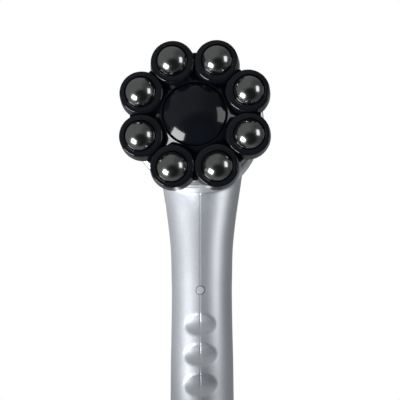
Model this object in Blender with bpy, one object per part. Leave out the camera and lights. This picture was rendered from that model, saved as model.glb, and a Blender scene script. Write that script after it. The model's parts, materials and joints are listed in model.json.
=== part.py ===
"""Hand-held body massager: a turning flower of eight rolling balls on a drum and an upright handle.

Units are metres. +Z is up along the handle, the balls face -Y, and +X is to the right seen from the front.
The origin is on the handle's axis, on the flat underside of the foot pad. Pieces of the head are written in
a frame of their own, the head frame: its origin is where the head's axis meets the handle's axis, its x is
the world's x, its y points up and its z forward, so a height named FWD is a distance in front of the
handle's axis.
"""

import math

import bmesh
import bpy
from mathutils import Vector

# Clearances and cuts
GAP = 0.0003
SPLIT_GAP = 0.0003
OVERRUN = 0.002
THREAD_GAP = 0.0003
WELD_SHARE = 0.01

# Head: balls and their sockets
HEAD_HEIGHT = 0.264
BALL_COUNT = 8
BALL_RADIUS = 0.0127
BALL_RING_RADIUS = 0.045
BALL_STANDOFF = 0.0253
SOCKET_GAP = 0.0004

# Carrier, front
CUP_RADIUS = 0.0165
CUP_LIP_RISE = 0.0049
CUP_EDGE = 0.0017
CARRIER_SPLIT_SETBACK = 0.006
WEB_RADIUS = 0.0479
WEB_FACE_RISE = 0.001
FLOOR_THICK = 0.0025

# Carrier, back
SKIRT_RADIUS = 0.0485
SKIRT_CLEARANCE = 0.0013
SKIRT_WALL = 0.002
BACK_FLOOR_CLEARANCE = 0.0036
BACK_FLOOR_THICK = 0.002
CUP_ROOT_RISE = 0.0029
HUB_BOSS_RADIUS = 0.009

# Carrier screws
CARRIER_SCREW_COUNT = 4
CARRIER_SCREW_RING_RADIUS = 0.018
CARRIER_BOSS_RADIUS = 0.0033
CARRIER_BOSS_RISE = 0.003
SCREW_SHANK = 0.00125
SCREW_HEAD_RADIUS = 0.0026
SCREW_HEAD_THICK = 0.0017

# Centre dome
DOME_RADIUS = 0.0241
DOME_CURVE = 0.038
DOME_WALL = 0.002

# Spindle
SPINDLE_RADIUS = 0.004
SPINDLE_TAIL = 0.001
COLLAR_RADIUS = 0.0085
SPINDLE_SCREW_RADIUS = 0.0017
SPINDLE_SCREW_LENGTH = 0.0115
SPINDLE_HEAD_RADIUS = 0.007
SPINDLE_HEAD_THICK = 0.0024
SPINDLE_NOSE_SHORT = 0.001
CLIP_RADIUS = 0.0054
CLIP_THICK = 0.001
CLIP_DEPTH = 0.0009

# Drum
DRUM_FRONT_RADIUS = 0.053
DRUM_REAR_RADIUS = 0.049
DRUM_WALL = 0.0022
DRUM_LENGTH = 0.042
DRUM_REAR_FWD = 0.0247
DRUM_EDGE = 0.0036
SPIGOT_LENGTH = 0.0062
SPIGOT_LIP = 0.002
SPIGOT_RADIUS = 0.0435
SPIGOT_LIP_RADIUS = 0.045
SPIGOT_WALL = 0.002

# Bushes and seal
BUSH_WALL = 0.0027
BUSH_BOSS_WALL = 0.003
FRONT_BUSH_LENGTH = 0.0064
REAR_BUSH_WALL = 0.0022
SEAL_INNER = 0.010
SEAL_OUTER = 0.014

# Gear train: output gear 48 and idler 12 teeth, idler 35 and motor pinion 10 teeth
OUTPUT_TEETH = 48
IDLER_SMALL_TEETH = 12
IDLER_LARGE_TEETH = 35
PINION_TEETH = 10
SLOW_MODULE = 0.001
FAST_MODULE = 0.0008
ADDENDUM_SHARE = 0.85
DEDENDUM_SHARE = 1.2
TOOTH_ROOT_SHARE = 0.58
TOOTH_TIP_SHARE = 0.2
OUTPUT_FACE_WIDTH = 0.008
OUTPUT_HUB_RADIUS = 0.009
OUTPUT_HUB_LENGTH = 0.0035
CROSS_PIN_RADIUS = 0.00125
FAST_FACE_WIDTH = 0.006
STEP_GAP = 0.003
PINION_EXTRA = 0.001

# Gearbox cover
COVER_ROOM = 0.0063
COVER_THICK = 0.003
COVER_BUSH_BOSS = 0.0025
IDLER_BOSS_RADIUS = 0.004
IDLER_PIN_RADIUS = 0.002
POST_RADIUS = 0.0036
POST_RING_RADIUS = 0.0438
POST_ANGLES = (math.radians(90), math.radians(190), math.radians(340))
POST_THREAD = 0.0107

# Motor
MOTOR_DROP = 0.020
MOTOR_RADIUS = 0.014
MOTOR_LENGTH = 0.038
MOTOR_WALL = 0.001
MOTOR_FACE_THICK = 0.0018
MOTOR_SNOUT_RADIUS = 0.005
MOTOR_SNOUT = 0.0025
MOTOR_SHAFT_RADIUS = 0.0015
MAGNET_THICK = 0.0018
MAGNET_LENGTH = 0.022
MAGNET_GAP = 0.0004
CORE_LENGTH = 0.018
CORE_START = 0.012
COMMUTATOR_RADIUS = 0.004
COMMUTATOR_LENGTH = 0.005
MOTOR_CAP_THICK = 0.002
MOTOR_CAP_PLUG = 0.0035
SHAFT_TAIL = 0.0013
MOTOR_SCREW_OFFSET = 0.0085
MOTOR_SCREW_SHANK = 0.0012
MOTOR_SCREW_HEAD = 0.0023
MOTOR_SCREW_REACH = 0.0014

# Handle
GRIP_RADIUS = 0.0248
GRIP_DEPTH_FRONT = 0.0248
GRIP_DEPTH_BACK = 0.026
SHELL_WALL = 0.0025
SHELL_BASE = 0.0043
TOE_REACH = 0.048
TOE_TOP = 0.036
BASE_HALF_WIDTH = 0.0272
POD_REAR_RADIUS = 0.044
POD_BACK_DEPTH = 0.0272
SCOOP_RADIUS = 0.0115
SCOOP_DEPTH = 0.0039
SCOOP_PITCH = 0.0238
SCOOP_COUNT = 4
SCOOP_TOP = 0.1084

# Shell screws
SHELL_BOSS_RADIUS = 0.0042
SHELL_SCREW_SHANK = 0.00125
SHELL_SCREW_HEAD = 0.0031
SHELL_SCREW_HEAD_THICK = 0.002
SHELL_SCREW_SEAT = 0.006
SHELL_SCREW_THREAD = 0.009
TOE_SCREW_FORWARD = 0.028
TOE_SCREW_HEIGHT = 0.0165
GRIP_SCREW_RISE = 0.0145
NECK_SCREW_FORWARD = 0.002
NECK_SCREW_DROP = 0.0555
POD_SCREW_BACK = 0.010
POD_SCREW_RISE = 0.028

# Base
CAP_THICK = 0.0025
CAP_PLUG = 0.0034
CAP_CHAMFER = 0.0012
FOOT_THICK = 0.0012
FOOT_INSET = 0.002

# Battery
CELL_RADIUS = 0.0091
CELL_LENGTH = 0.065
CELL_SPACING = 0.0186
CELL_TIP_RADIUS = 0.0028
CELL_TIP = 0.001
TRAY_HALF_WIDTH = 0.0192
TRAY_WALL = 0.002
TRAY_FRONT = 0.008
LINK_THICK = 0.0004
LINK_HALF_WIDTH = 0.014
LINK_HALF_DEPTH = 0.004

# Control board, indicator and speed slider
BOARD_FRONT = 0.006
BOARD_THICK = 0.0016
BOARD_HALF_WIDTH = 0.018
BOARD_RISE = 0.0115
BOARD_LENGTH = 0.080
RAIL_DEPTH = 0.0027
RAIL_HEIGHT = 0.006
RAIL_RISE = 0.007
RAIL_DROP = 0.015
RAIL_GRIP = 0.0015
LENS_RISE = 0.0276
LENS_RADIUS = 0.0032
LENS_DOME = 0.0009
LENS_FLANGE_RADIUS = 0.0046
LENS_FLANGE_FRONT = 0.0212
LENS_FLANGE_THICK = 0.0015
PIPE_RADIUS = 0.0016
PIPE_REAR = 0.003
LAMP_RADIUS = 0.0024
LAMP_BASE_RADIUS = 0.003
LAMP_BASE_THICK = 0.001
KNOB_RISE = 0.044
KNOB_TRAVEL = 0.012
KNOB_HALF_WIDTH = 0.006
KNOB_HALF_LENGTH = 0.007
KNOB_THICK = 0.0028
KNOB_RIDGES = 4
KNOB_RIDGE_DEPTH = 0.0009
NECK_HALF_WIDTH = 0.0032
NECK_HALF_LENGTH = 0.004
SHUTTER_HALF_LENGTH = 0.0168
SHUTTER_THICK = 0.0013
SHUTTER_BACK = 0.0221
STEM_HALF_WIDTH = 0.0015
STEM_HALF_LENGTH = 0.002
SWITCH_HALF_WIDTH = 0.0045
SWITCH_HALF_LENGTH = 0.011
SWITCH_HEIGHT = 0.0066

# Charging socket
SOCKET_HEIGHT = 0.032
JACK_RADIUS = 0.0052
JACK_FLANGE_RADIUS = 0.0066
JACK_FLANGE_THICK = 0.002
JACK_BORE = 0.0034
JACK_DEPTH = 0.009
JACK_PIN_RADIUS = 0.001
JACK_PIN_SHORT = 0.0015

# Leads
LEAD_RADIUS = 0.0008
LEAD_SPREAD = 0.0048
BATTERY_LEAD_SPREAD = 0.009
LEAD_BOW = 0.006
LEAD_POINTS = 12

# Roundness
RIM_STEPS = 32
CUP_STEPS = 16
SMALL_STEPS = 12
SCOOP_STEPS = 24
RING_POINTS = 24
CAVITY_POINTS = 16

# Worked out from the sizes above
DRUM_FRONT_FWD = DRUM_REAR_FWD + DRUM_LENGTH
SKIRT_REAR_FWD = DRUM_FRONT_FWD + SKIRT_CLEARANCE
BACK_FLOOR_FWD = DRUM_FRONT_FWD + BACK_FLOOR_CLEARANCE
BALL_FWD = DRUM_FRONT_FWD + BALL_STANDOFF
CARRIER_SPLIT_FWD = BALL_FWD - CARRIER_SPLIT_SETBACK
WEB_FACE_FWD = BALL_FWD + WEB_FACE_RISE
SOCKET_RADIUS = BALL_RADIUS + SOCKET_GAP
LIP_FWD = BALL_FWD + CUP_LIP_RISE
CUP_ROOT_FWD = BALL_FWD - SOCKET_RADIUS - CUP_ROOT_RISE
RECESS_FLOOR_FWD = CARRIER_SPLIT_FWD + FLOOR_THICK
DRUM_INNER_FWD = DRUM_FRONT_FWD - DRUM_WALL
POD_FRONT_FWD = DRUM_REAR_FWD - GAP
FRONT_BUSH_REAR_FWD = DRUM_FRONT_FWD + GAP - FRONT_BUSH_LENGTH
OUTPUT_FACE_FWD = FRONT_BUSH_REAR_FWD - GAP
SLOW_REAR_FWD = OUTPUT_FACE_FWD - OUTPUT_FACE_WIDTH
FAST_FRONT_FWD = SLOW_REAR_FWD - STEP_GAP
FAST_REAR_FWD = FAST_FRONT_FWD - FAST_FACE_WIDTH
COVER_FRONT_FWD = FAST_REAR_FWD - COVER_ROOM
COVER_REAR_FWD = COVER_FRONT_FWD - COVER_THICK
MOTOR_FACE_FWD = COVER_REAR_FWD - GAP
MOTOR_REAR_FWD = MOTOR_FACE_FWD - MOTOR_LENGTH
CAP_TOP = SHELL_BASE - GAP
CAP_LOW = CAP_TOP - CAP_THICK
PLUG_TOP = CAP_TOP + CAP_PLUG
TRAY_LOW = PLUG_TOP + GAP
CELL_LOW = TRAY_LOW + TRAY_WALL + GAP + LINK_THICK + GAP
CELL_HIGH = CELL_LOW + CELL_LENGTH
TRAY_ROOF = CELL_HIGH + CELL_TIP + GAP
TRAY_TOP = TRAY_ROOF + TRAY_WALL
GRIP_SCREW_HEIGHT = TRAY_TOP + GRIP_SCREW_RISE
NECK_SCREW_HEIGHT = HEAD_HEIGHT - NECK_SCREW_DROP
BOARD_LOW = GRIP_SCREW_HEIGHT + BOARD_RISE
BOARD_HIGH = BOARD_LOW + BOARD_LENGTH
LENS_HEIGHT = SCOOP_TOP + LENS_RISE
KNOB_HEIGHT = BOARD_LOW + KNOB_RISE
BOARD_BACK = BOARD_FRONT + BOARD_THICK
SLOW_REACH = SLOW_MODULE * (OUTPUT_TEETH + IDLER_SMALL_TEETH) / 2
FAST_REACH = FAST_MODULE * (IDLER_LARGE_TEETH + PINION_TEETH) / 2

# Looks: colour, roughness, metallic
SILVER = ((0.66, 0.67, 0.72), 0.32, 0.85)
BLACK_GLOSS = ((0.012, 0.013, 0.02), 0.08, 0.0)
GUNMETAL = ((0.12, 0.12, 0.125), 0.12, 1.0)
STEEL = ((0.55, 0.56, 0.58), 0.3, 1.0)
BRONZE = ((0.45, 0.28, 0.12), 0.4, 1.0)
WHITE_PLASTIC = ((0.8, 0.79, 0.74), 0.45, 0.0)
DARK_PLASTIC = ((0.04, 0.04, 0.045), 0.5, 0.0)
FELT = ((0.08, 0.08, 0.08), 0.95, 0.0)
BOARD_GREEN = ((0.02, 0.17, 0.07), 0.5, 0.0)
CELL_BLUE = ((0.05, 0.18, 0.42), 0.35, 0.0)
COPPER = ((0.7, 0.33, 0.2), 0.35, 1.0)
RUBBER = ((0.03, 0.03, 0.03), 0.85, 0.0)
LENS_TINT = ((0.62, 0.63, 0.68), 0.15, 0.2)
LEAD_RED = ((0.5, 0.03, 0.03), 0.5, 0.0)
LEAD_BLACK = ((0.02, 0.02, 0.02), 0.5, 0.0)

for old in list(bpy.data.objects):
    bpy.data.objects.remove(old)


def material_for(name, look):
    """A Principled material of the piece's own."""
    colour, roughness, metallic = look
    material = bpy.data.materials.new(name)
    material.use_nodes = True
    shader = material.node_tree.nodes["Principled BSDF"]
    shader.inputs["Base Color"].default_value = (*colour, 1.0)
    shader.inputs["Roughness"].default_value = roughness
    shader.inputs["Metallic"].default_value = metallic
    return material


def place(name, bm, look=None, parent=None, at=(0, 0, 0), turn=(0, 0, 0)):
    """The bmesh as an object. Without a look it is a cutter or a helper, kept out of the model."""
    bmesh.ops.recalc_face_normals(bm, faces=bm.faces)
    mesh = bpy.data.meshes.new(name)
    bm.to_mesh(mesh)
    bm.free()
    mesh.shade_smooth()
    mesh.set_sharp_from_angle(angle=math.radians(30))
    obj = bpy.data.objects.new(name, mesh)
    obj.location = at
    obj.rotation_euler = turn
    obj.parent = parent
    bpy.context.scene.collection.objects.link(obj)
    if look is None:
        obj.hide_render = True
        obj.display_type = "WIRE"
    else:
        mesh.materials.append(material_for(name, look))
    return obj


def boolean(obj, others, operation="DIFFERENCE", solver="EXACT"):
    """One step of the piece's Boolean stack, with one helper or with a list that works all at once."""
    if not isinstance(others, list):
        others = [others]
    modifier = obj.modifiers.new(f"{operation.title()} {others[0].name}", "BOOLEAN")
    modifier.operation = operation
    modifier.solver = solver
    if len(others) == 1:
        modifier.object = others[0]
        return
    group = bpy.data.collections.new(f"{obj.name} {modifier.name}")
    for other in others:
        group.objects.link(other)
    modifier.operand_type = "COLLECTION"
    modifier.collection = group


def turned(name, profile, look=None, steps=RIM_STEPS, **where):
    """A profile of (radius, height) points, a closed loop, spun about local z."""
    bm = bmesh.new()
    weld = GAP * WELD_SHARE
    points = [bm.verts.new((radius if radius > weld else 0, 0, height)) for radius, height in profile]
    edges = []
    for first, second in zip(points, points[1:] + points[:1]):
        if first.co.x > 0 or second.co.x > 0:
            edges.append(bm.edges.new((first, second)))
    bmesh.ops.spin(
        bm, geom=points + edges, cent=(0, 0, 0), axis=(0, 0, 1), angle=math.tau, steps=steps, use_merge=True
    )
    bmesh.ops.remove_doubles(bm, verts=bm.verts, dist=weld)
    return place(name, bm, look, **where)


def rod(name, radius, low, high, look=None, steps=SMALL_STEPS, **where):
    """A plain cylinder along local z."""
    return turned(name, [(0, low), (radius, low), (radius, high), (0, high)], look, steps, **where)


def ring(name, inner, outer, low, high, look=None, steps=SMALL_STEPS, **where):
    """A plain tube along local z."""
    return turned(name, [(inner, low), (outer, low), (outer, high), (inner, high)], look, steps, **where)


def prism(name, outline, low, high, look=None, **where):
    """An outline in local x and y, extruded along local z."""
    bm = bmesh.new()
    face = bm.faces.new([bm.verts.new((x, y, low)) for x, y in outline])
    moved = bmesh.ops.extrude_face_region(bm, geom=[face])["geom"]
    tops = [item for item in moved if isinstance(item, bmesh.types.BMVert)]
    bmesh.ops.translate(bm, verts=tops, vec=(0, 0, high - low))
    return place(name, bm, look, **where)


def block(name, low, high, look=None, **where):
    """A box between two corners."""
    outline = [(low[0], low[1]), (high[0], low[1]), (high[0], high[1]), (low[0], high[1])]
    return prism(name, outline, low[2], high[2], look, **where)


def loft(name, rings, look=None, **where):
    """A skin over rings of points, closed by a face at each end."""
    bm = bmesh.new()
    rows = [[bm.verts.new(point) for point in points] for points in rings]
    for lower, upper in zip(rows, rows[1:]):
        for index, vert in enumerate(lower):
            following = (index + 1) % len(lower)
            bm.faces.new((vert, lower[following], upper[following], upper[index]))
    bm.faces.new(reversed(rows[0]))
    bm.faces.new(rows[-1])
    return place(name, bm, look, **where)


def arc(centre, radius, start, stop, steps):
    """Points (radius, height) along an arc whose centre is (radius, height), with angles in degrees."""
    points = []
    for step in range(steps + 1):
        angle = math.radians(start + (stop - start) * step / steps)
        points.append((centre[0] + radius * math.cos(angle), centre[1] + radius * math.sin(angle)))
    return points


def polar(radius, angle):
    return Vector((radius * math.cos(angle), radius * math.sin(angle)))


# The head frame
head = bpy.data.objects.new("head_frame", None)
head.location = (0, 0, HEAD_HEIGHT)
head.rotation_euler = (math.pi / 2, 0, 0)
bpy.context.scene.collection.objects.link(head)

ball_angles = [math.tau * (index + 1 / 2) / BALL_COUNT for index in range(BALL_COUNT)]
ball_places = [polar(BALL_RING_RADIUS, angle) for angle in ball_angles]

# Carrier front: a web with eight raised cups, open round the balls, and a recess for the centre dome
carrier_front = turned(
    "carrier_front",
    [
        (0, CARRIER_SPLIT_FWD),
        (WEB_RADIUS, CARRIER_SPLIT_FWD),
        (WEB_RADIUS, WEB_FACE_FWD),
        (0, WEB_FACE_FWD),
    ],
    BLACK_GLOSS,
    parent=head,
)
cup_profile = [
    (0, CARRIER_SPLIT_FWD),
    (CUP_RADIUS, CARRIER_SPLIT_FWD),
    *arc((CUP_RADIUS - CUP_EDGE, LIP_FWD - CUP_EDGE), CUP_EDGE, 0, 90, 2),
    (0, LIP_FWD),
]
socket_profile = [
    (0, CARRIER_SPLIT_FWD - OVERRUN),
    (SOCKET_RADIUS, CARRIER_SPLIT_FWD - OVERRUN),
    *arc((0, BALL_FWD), SOCKET_RADIUS, 0, 36, 3),
    (0, BALL_FWD + SOCKET_RADIUS),
]
cups = [
    turned(f"cup_{index}", cup_profile, steps=CUP_STEPS, parent=head, at=(x, y, 0))
    for index, (x, y) in enumerate(ball_places)
]
boolean(carrier_front, cups, "UNION")
recess = turned(
    "dome_recess",
    [
        (0, CARRIER_SPLIT_FWD - OVERRUN),
        (SPINDLE_HEAD_RADIUS + GAP, CARRIER_SPLIT_FWD - OVERRUN),
        (SPINDLE_HEAD_RADIUS + GAP, RECESS_FLOOR_FWD),
        (DOME_RADIUS, RECESS_FLOOR_FWD),
        (DOME_RADIUS, LIP_FWD),
        (0, LIP_FWD),
    ],
    parent=head,
)
sockets = [
    turned(f"socket_{index}", socket_profile, steps=CUP_STEPS, parent=head, at=(x, y, 0))
    for index, (x, y) in enumerate(ball_places)
]
# Carrier back: a shallow bowl with a hub boss, and the rounded backs of the cups
back_face_fwd = CARRIER_SPLIT_FWD - GAP
floor_front_fwd = BACK_FLOOR_FWD + BACK_FLOOR_THICK
spindle_bore = SPINDLE_RADIUS + GAP
carrier_back = turned(
    "carrier_back",
    [
        (SKIRT_RADIUS - SKIRT_WALL, SKIRT_REAR_FWD),
        (SKIRT_RADIUS, SKIRT_REAR_FWD),
        (SKIRT_RADIUS, back_face_fwd),
        (SKIRT_RADIUS - SKIRT_WALL, back_face_fwd),
        (SKIRT_RADIUS - SKIRT_WALL, floor_front_fwd),
        (HUB_BOSS_RADIUS, floor_front_fwd),
        (HUB_BOSS_RADIUS, back_face_fwd),
        (spindle_bore, back_face_fwd),
        (spindle_bore, BACK_FLOOR_FWD),
        (SKIRT_RADIUS - SKIRT_WALL, BACK_FLOOR_FWD),
    ],
    BLACK_GLOSS,
    parent=head,
)
back_cup_depth = back_face_fwd - CUP_ROOT_FWD
back_cup_profile = [(0, back_face_fwd), (0, CUP_ROOT_FWD)]
for step in range(1, 4):
    lean = math.pi / 2 * step / 3
    back_cup_profile.append((CUP_RADIUS * math.sin(lean), back_face_fwd - back_cup_depth * math.cos(lean)))
pocket_profile = [
    (0, CARRIER_SPLIT_FWD),
    *reversed(arc((0, BALL_FWD), SOCKET_RADIUS, -90, -28, 3)),
]
back_cups = [
    turned(f"back_cup_{index}", back_cup_profile, steps=CUP_STEPS, parent=head, at=(x, y, 0))
    for index, (x, y) in enumerate(ball_places)
]
screw_places = [
    polar(CARRIER_SCREW_RING_RADIUS, math.tau * index / CARRIER_SCREW_COUNT)
    for index in range(CARRIER_SCREW_COUNT)
]
back_posts = [
    rod(
        f"back_post_{index}",
        CARRIER_BOSS_RADIUS,
        BACK_FLOOR_FWD + BACK_FLOOR_THICK / 2,
        back_face_fwd,
        parent=head,
        at=(x, y, 0),
    )
    for index, (x, y) in enumerate(screw_places)
]
boolean(carrier_back, back_cups + back_posts, "UNION")
pockets = [
    turned(f"pocket_{index}", pocket_profile, steps=CUP_STEPS, parent=head, at=(x, y, 0))
    for index, (x, y) in enumerate(ball_places)
]
boss_top_fwd = RECESS_FLOOR_FWD + CARRIER_BOSS_RISE
front_bosses = [
    rod(
        f"front_boss_{index}",
        CARRIER_BOSS_RADIUS,
        CARRIER_SPLIT_FWD + FLOOR_THICK / 2,
        boss_top_fwd,
        parent=head,
        at=(x, y, 0),
    )
    for index, (x, y) in enumerate(screw_places)
]
boolean(recess, front_bosses)
carrier_threads = [
    rod(
        f"carrier_thread_{index}",
        SCREW_SHANK + THREAD_GAP,
        BACK_FLOOR_FWD - OVERRUN,
        boss_top_fwd - FLOOR_THICK / 2,
        parent=head,
        at=(x, y, 0),
    )
    for index, (x, y) in enumerate(screw_places)
]
boolean(carrier_back, pockets + carrier_threads)
boolean(carrier_front, [recess, *sockets, *carrier_threads])
for index, (x, y) in enumerate(screw_places):
    turned(
        f"carrier_screw_{index + 1}",
        [
            (0, BACK_FLOOR_FWD - GAP - SCREW_HEAD_THICK),
            (SCREW_HEAD_RADIUS, BACK_FLOOR_FWD - GAP - SCREW_HEAD_THICK),
            (SCREW_HEAD_RADIUS, BACK_FLOOR_FWD - GAP),
            (SCREW_SHANK, BACK_FLOOR_FWD - GAP),
            (SCREW_SHANK, boss_top_fwd - FLOOR_THICK / 2 - GAP),
            (0, boss_top_fwd - FLOOR_THICK / 2 - GAP),
        ],
        STEEL,
        SMALL_STEPS,
        parent=head,
        at=(x, y, 0),
    )

# Balls
for index, ((x, y), angle) in enumerate(zip(ball_places, ball_angles)):
    bm = bmesh.new()
    bmesh.ops.create_uvsphere(bm, u_segments=16, v_segments=10, radius=BALL_RADIUS)
    place(f"ball_{index + 1}", bm, GUNMETAL, head, (x, y, BALL_FWD), (0, math.pi / 2, angle))

# Centre dome: a thin cap, seated on the recess's floor
dome_rim = DOME_RADIUS - GAP
dome_inner = dome_rim - DOME_WALL
dome_low = WEB_FACE_FWD - math.sqrt(DOME_CURVE**2 - dome_rim**2)
dome_slope = math.degrees(math.acos(dome_rim / DOME_CURVE))
inner_slope = math.degrees(math.acos(dome_inner / (DOME_CURVE - DOME_WALL)))
turned(
    "centre_dome",
    [
        (dome_inner, RECESS_FLOOR_FWD + GAP),
        (dome_rim, RECESS_FLOOR_FWD + GAP),
        *arc((0, dome_low), DOME_CURVE, dome_slope, 90, 4)[:-1],
        (0, dome_low + DOME_CURVE),
        (0, dome_low + DOME_CURVE - DOME_WALL),
        *arc((0, dome_low), DOME_CURVE - DOME_WALL, 90, inner_slope, 2)[1:],
    ],
    BLACK_GLOSS,
    parent=head,
)

# Spindle, its screw, clip and dust seal
collar_rear_fwd = DRUM_FRONT_FWD + GAP * 2
collar_front_fwd = BACK_FLOOR_FWD - GAP
nose_fwd = back_face_fwd - SPINDLE_NOSE_SHORT
clip_rear_fwd = COVER_REAR_FWD - GAP - CLIP_THICK
spindle_rear_fwd = clip_rear_fwd - SPINDLE_TAIL
groove_radius = SPINDLE_RADIUS - CLIP_DEPTH
screw_tip_fwd = back_face_fwd + GAP - SPINDLE_SCREW_LENGTH
spindle = turned(
    "spindle",
    [
        (0, spindle_rear_fwd),
        (SPINDLE_RADIUS, spindle_rear_fwd),
        (SPINDLE_RADIUS, clip_rear_fwd - GAP),
        (groove_radius, clip_rear_fwd - GAP),
        (groove_radius, clip_rear_fwd + CLIP_THICK + GAP),
        (SPINDLE_RADIUS, clip_rear_fwd + CLIP_THICK + GAP),
        (SPINDLE_RADIUS, collar_rear_fwd),
        (COLLAR_RADIUS, collar_rear_fwd),
        (COLLAR_RADIUS, collar_front_fwd),
        (SPINDLE_RADIUS, collar_front_fwd),
        (SPINDLE_RADIUS, nose_fwd),
        (SPINDLE_SCREW_RADIUS + THREAD_GAP, nose_fwd),
        (SPINDLE_SCREW_RADIUS + THREAD_GAP, screw_tip_fwd - GAP),
        (0, screw_tip_fwd - GAP),
    ],
    STEEL,
    SMALL_STEPS,
    parent=head,
)
head_rear_fwd = back_face_fwd + GAP
turned(
    "spindle_screw",
    [
        (0, screw_tip_fwd),
        (SPINDLE_SCREW_RADIUS, screw_tip_fwd),
        (SPINDLE_SCREW_RADIUS, head_rear_fwd),
        (SPINDLE_HEAD_RADIUS, head_rear_fwd),
        (SPINDLE_HEAD_RADIUS, head_rear_fwd + SPINDLE_HEAD_THICK),
        (0, head_rear_fwd + SPINDLE_HEAD_THICK),
    ],
    STEEL,
    SMALL_STEPS,
    parent=head,
)
ring(
    "spindle_clip",
    groove_radius + GAP,
    CLIP_RADIUS,
    clip_rear_fwd,
    clip_rear_fwd + CLIP_THICK,
    STEEL,
    parent=head,
)
ring("dust_seal", SEAL_INNER, SEAL_OUTER, DRUM_FRONT_FWD + GAP, BACK_FLOOR_FWD - GAP, FELT, parent=head)

# Gear train
pinion_place = Vector((0, -MOTOR_DROP))
idler_down = (SLOW_REACH**2 - FAST_REACH**2 + MOTOR_DROP**2) / (2 * MOTOR_DROP)
idler_place = Vector((math.sqrt(SLOW_REACH**2 - idler_down**2), -idler_down))


def meshing_phase(phase, teeth, place_a, place_b, other_teeth):
    """Where the second gear's first tooth points so that its teeth fall in the first gear's gaps."""
    towards = math.atan2(place_b.y - place_a.y, place_b.x - place_a.x)
    into_pitch = (phase - towards) / (math.tau / teeth)
    return towards + math.pi + math.tau / other_teeth * (1 / 2 - into_pitch)


def gear_outline(teeth, module, phase):
    """Tapered teeth: root, tip, tip, root for each."""
    pitch_radius = module * teeth / 2
    pitch_angle = math.tau / teeth
    root = pitch_radius - DEDENDUM_SHARE * module
    tip = pitch_radius + ADDENDUM_SHARE * module
    outline = []
    for tooth in range(teeth):
        centre = phase + tooth * pitch_angle
        outline.append(polar(root, centre - pitch_angle * TOOTH_ROOT_SHARE / 2))
        outline.append(polar(tip, centre - pitch_angle * TOOTH_TIP_SHARE / 2))
        outline.append(polar(tip, centre + pitch_angle * TOOTH_TIP_SHARE / 2))
        outline.append(polar(root, centre + pitch_angle * TOOTH_ROOT_SHARE / 2))
    return outline


origin = Vector((0, 0))
output_phase = 0.0
idler_small_phase = meshing_phase(output_phase, OUTPUT_TEETH, origin, idler_place, IDLER_SMALL_TEETH)
idler_large_phase = 0.0
pinion_phase = meshing_phase(idler_large_phase, IDLER_LARGE_TEETH, idler_place, pinion_place, PINION_TEETH)

output_gear = prism(
    "output_gear",
    gear_outline(OUTPUT_TEETH, SLOW_MODULE, output_phase),
    SLOW_REAR_FWD,
    OUTPUT_FACE_FWD,
    WHITE_PLASTIC,
    parent=head,
)
hub_rear_fwd = SLOW_REAR_FWD - OUTPUT_HUB_LENGTH
cross_pin_fwd = hub_rear_fwd + OUTPUT_HUB_LENGTH / 2
boolean(
    output_gear,
    rod("output_hub", OUTPUT_HUB_RADIUS, hub_rear_fwd, SLOW_REAR_FWD + OUTPUT_HUB_LENGTH, parent=head),
    "UNION",
)
boolean(
    output_gear,
    rod("output_bore", spindle_bore, hub_rear_fwd - OVERRUN, OUTPUT_FACE_FWD + OVERRUN, parent=head),
)
cross_hole = rod(
    "cross_hole",
    CROSS_PIN_RADIUS + GAP,
    -OUTPUT_HUB_RADIUS - OVERRUN,
    OUTPUT_HUB_RADIUS + OVERRUN,
    steps=12,
    parent=head,
    at=(0, 0, cross_pin_fwd),
    turn=(0, math.pi / 2, 0),
)
boolean(output_gear, cross_hole)
boolean(spindle, cross_hole)
rod(
    "cross_pin",
    CROSS_PIN_RADIUS,
    -OUTPUT_HUB_RADIUS,
    OUTPUT_HUB_RADIUS,
    STEEL,
    12,
    parent=head,
    at=(0, 0, cross_pin_fwd),
    turn=(0, math.pi / 2, 0),
)

idler_at = (idler_place.x, idler_place.y, 0)
idler_gear = prism(
    "idler_gear",
    gear_outline(IDLER_LARGE_TEETH, FAST_MODULE, idler_large_phase),
    FAST_REAR_FWD,
    FAST_FRONT_FWD,
    WHITE_PLASTIC,
    parent=head,
    at=idler_at,
)
boolean(
    idler_gear,
    prism(
        "idler_small",
        gear_outline(IDLER_SMALL_TEETH, SLOW_MODULE, idler_small_phase),
        FAST_FRONT_FWD - STEP_GAP / 2,
        OUTPUT_FACE_FWD,
        parent=head,
        at=idler_at,
    ),
    "UNION",
)
pin_bore = IDLER_PIN_RADIUS + GAP
bore_low, bore_high = FAST_REAR_FWD - OVERRUN, OUTPUT_FACE_FWD + OVERRUN
boolean(
    idler_gear,
    rod("idler_bore", pin_bore, bore_low, bore_high, parent=head, at=idler_at),
)
rod(
    "idler_pin",
    IDLER_PIN_RADIUS,
    COVER_REAR_FWD + GAP,
    DRUM_INNER_FWD - GAP,
    STEEL,
    parent=head,
    at=idler_at,
)
motor_at = (pinion_place.x, pinion_place.y, 0)
motor_pinion = prism(
    "motor_pinion",
    gear_outline(PINION_TEETH, FAST_MODULE, pinion_phase),
    FAST_REAR_FWD - PINION_EXTRA,
    FAST_FRONT_FWD + PINION_EXTRA,
    BRONZE,
    parent=head,
    at=motor_at,
)
boolean(
    motor_pinion,
    rod(
        "pinion_bore",
        MOTOR_SHAFT_RADIUS + GAP,
        FAST_REAR_FWD - OVERRUN,
        FAST_FRONT_FWD + OVERRUN,
        parent=head,
        at=motor_at,
    ),
)

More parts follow.
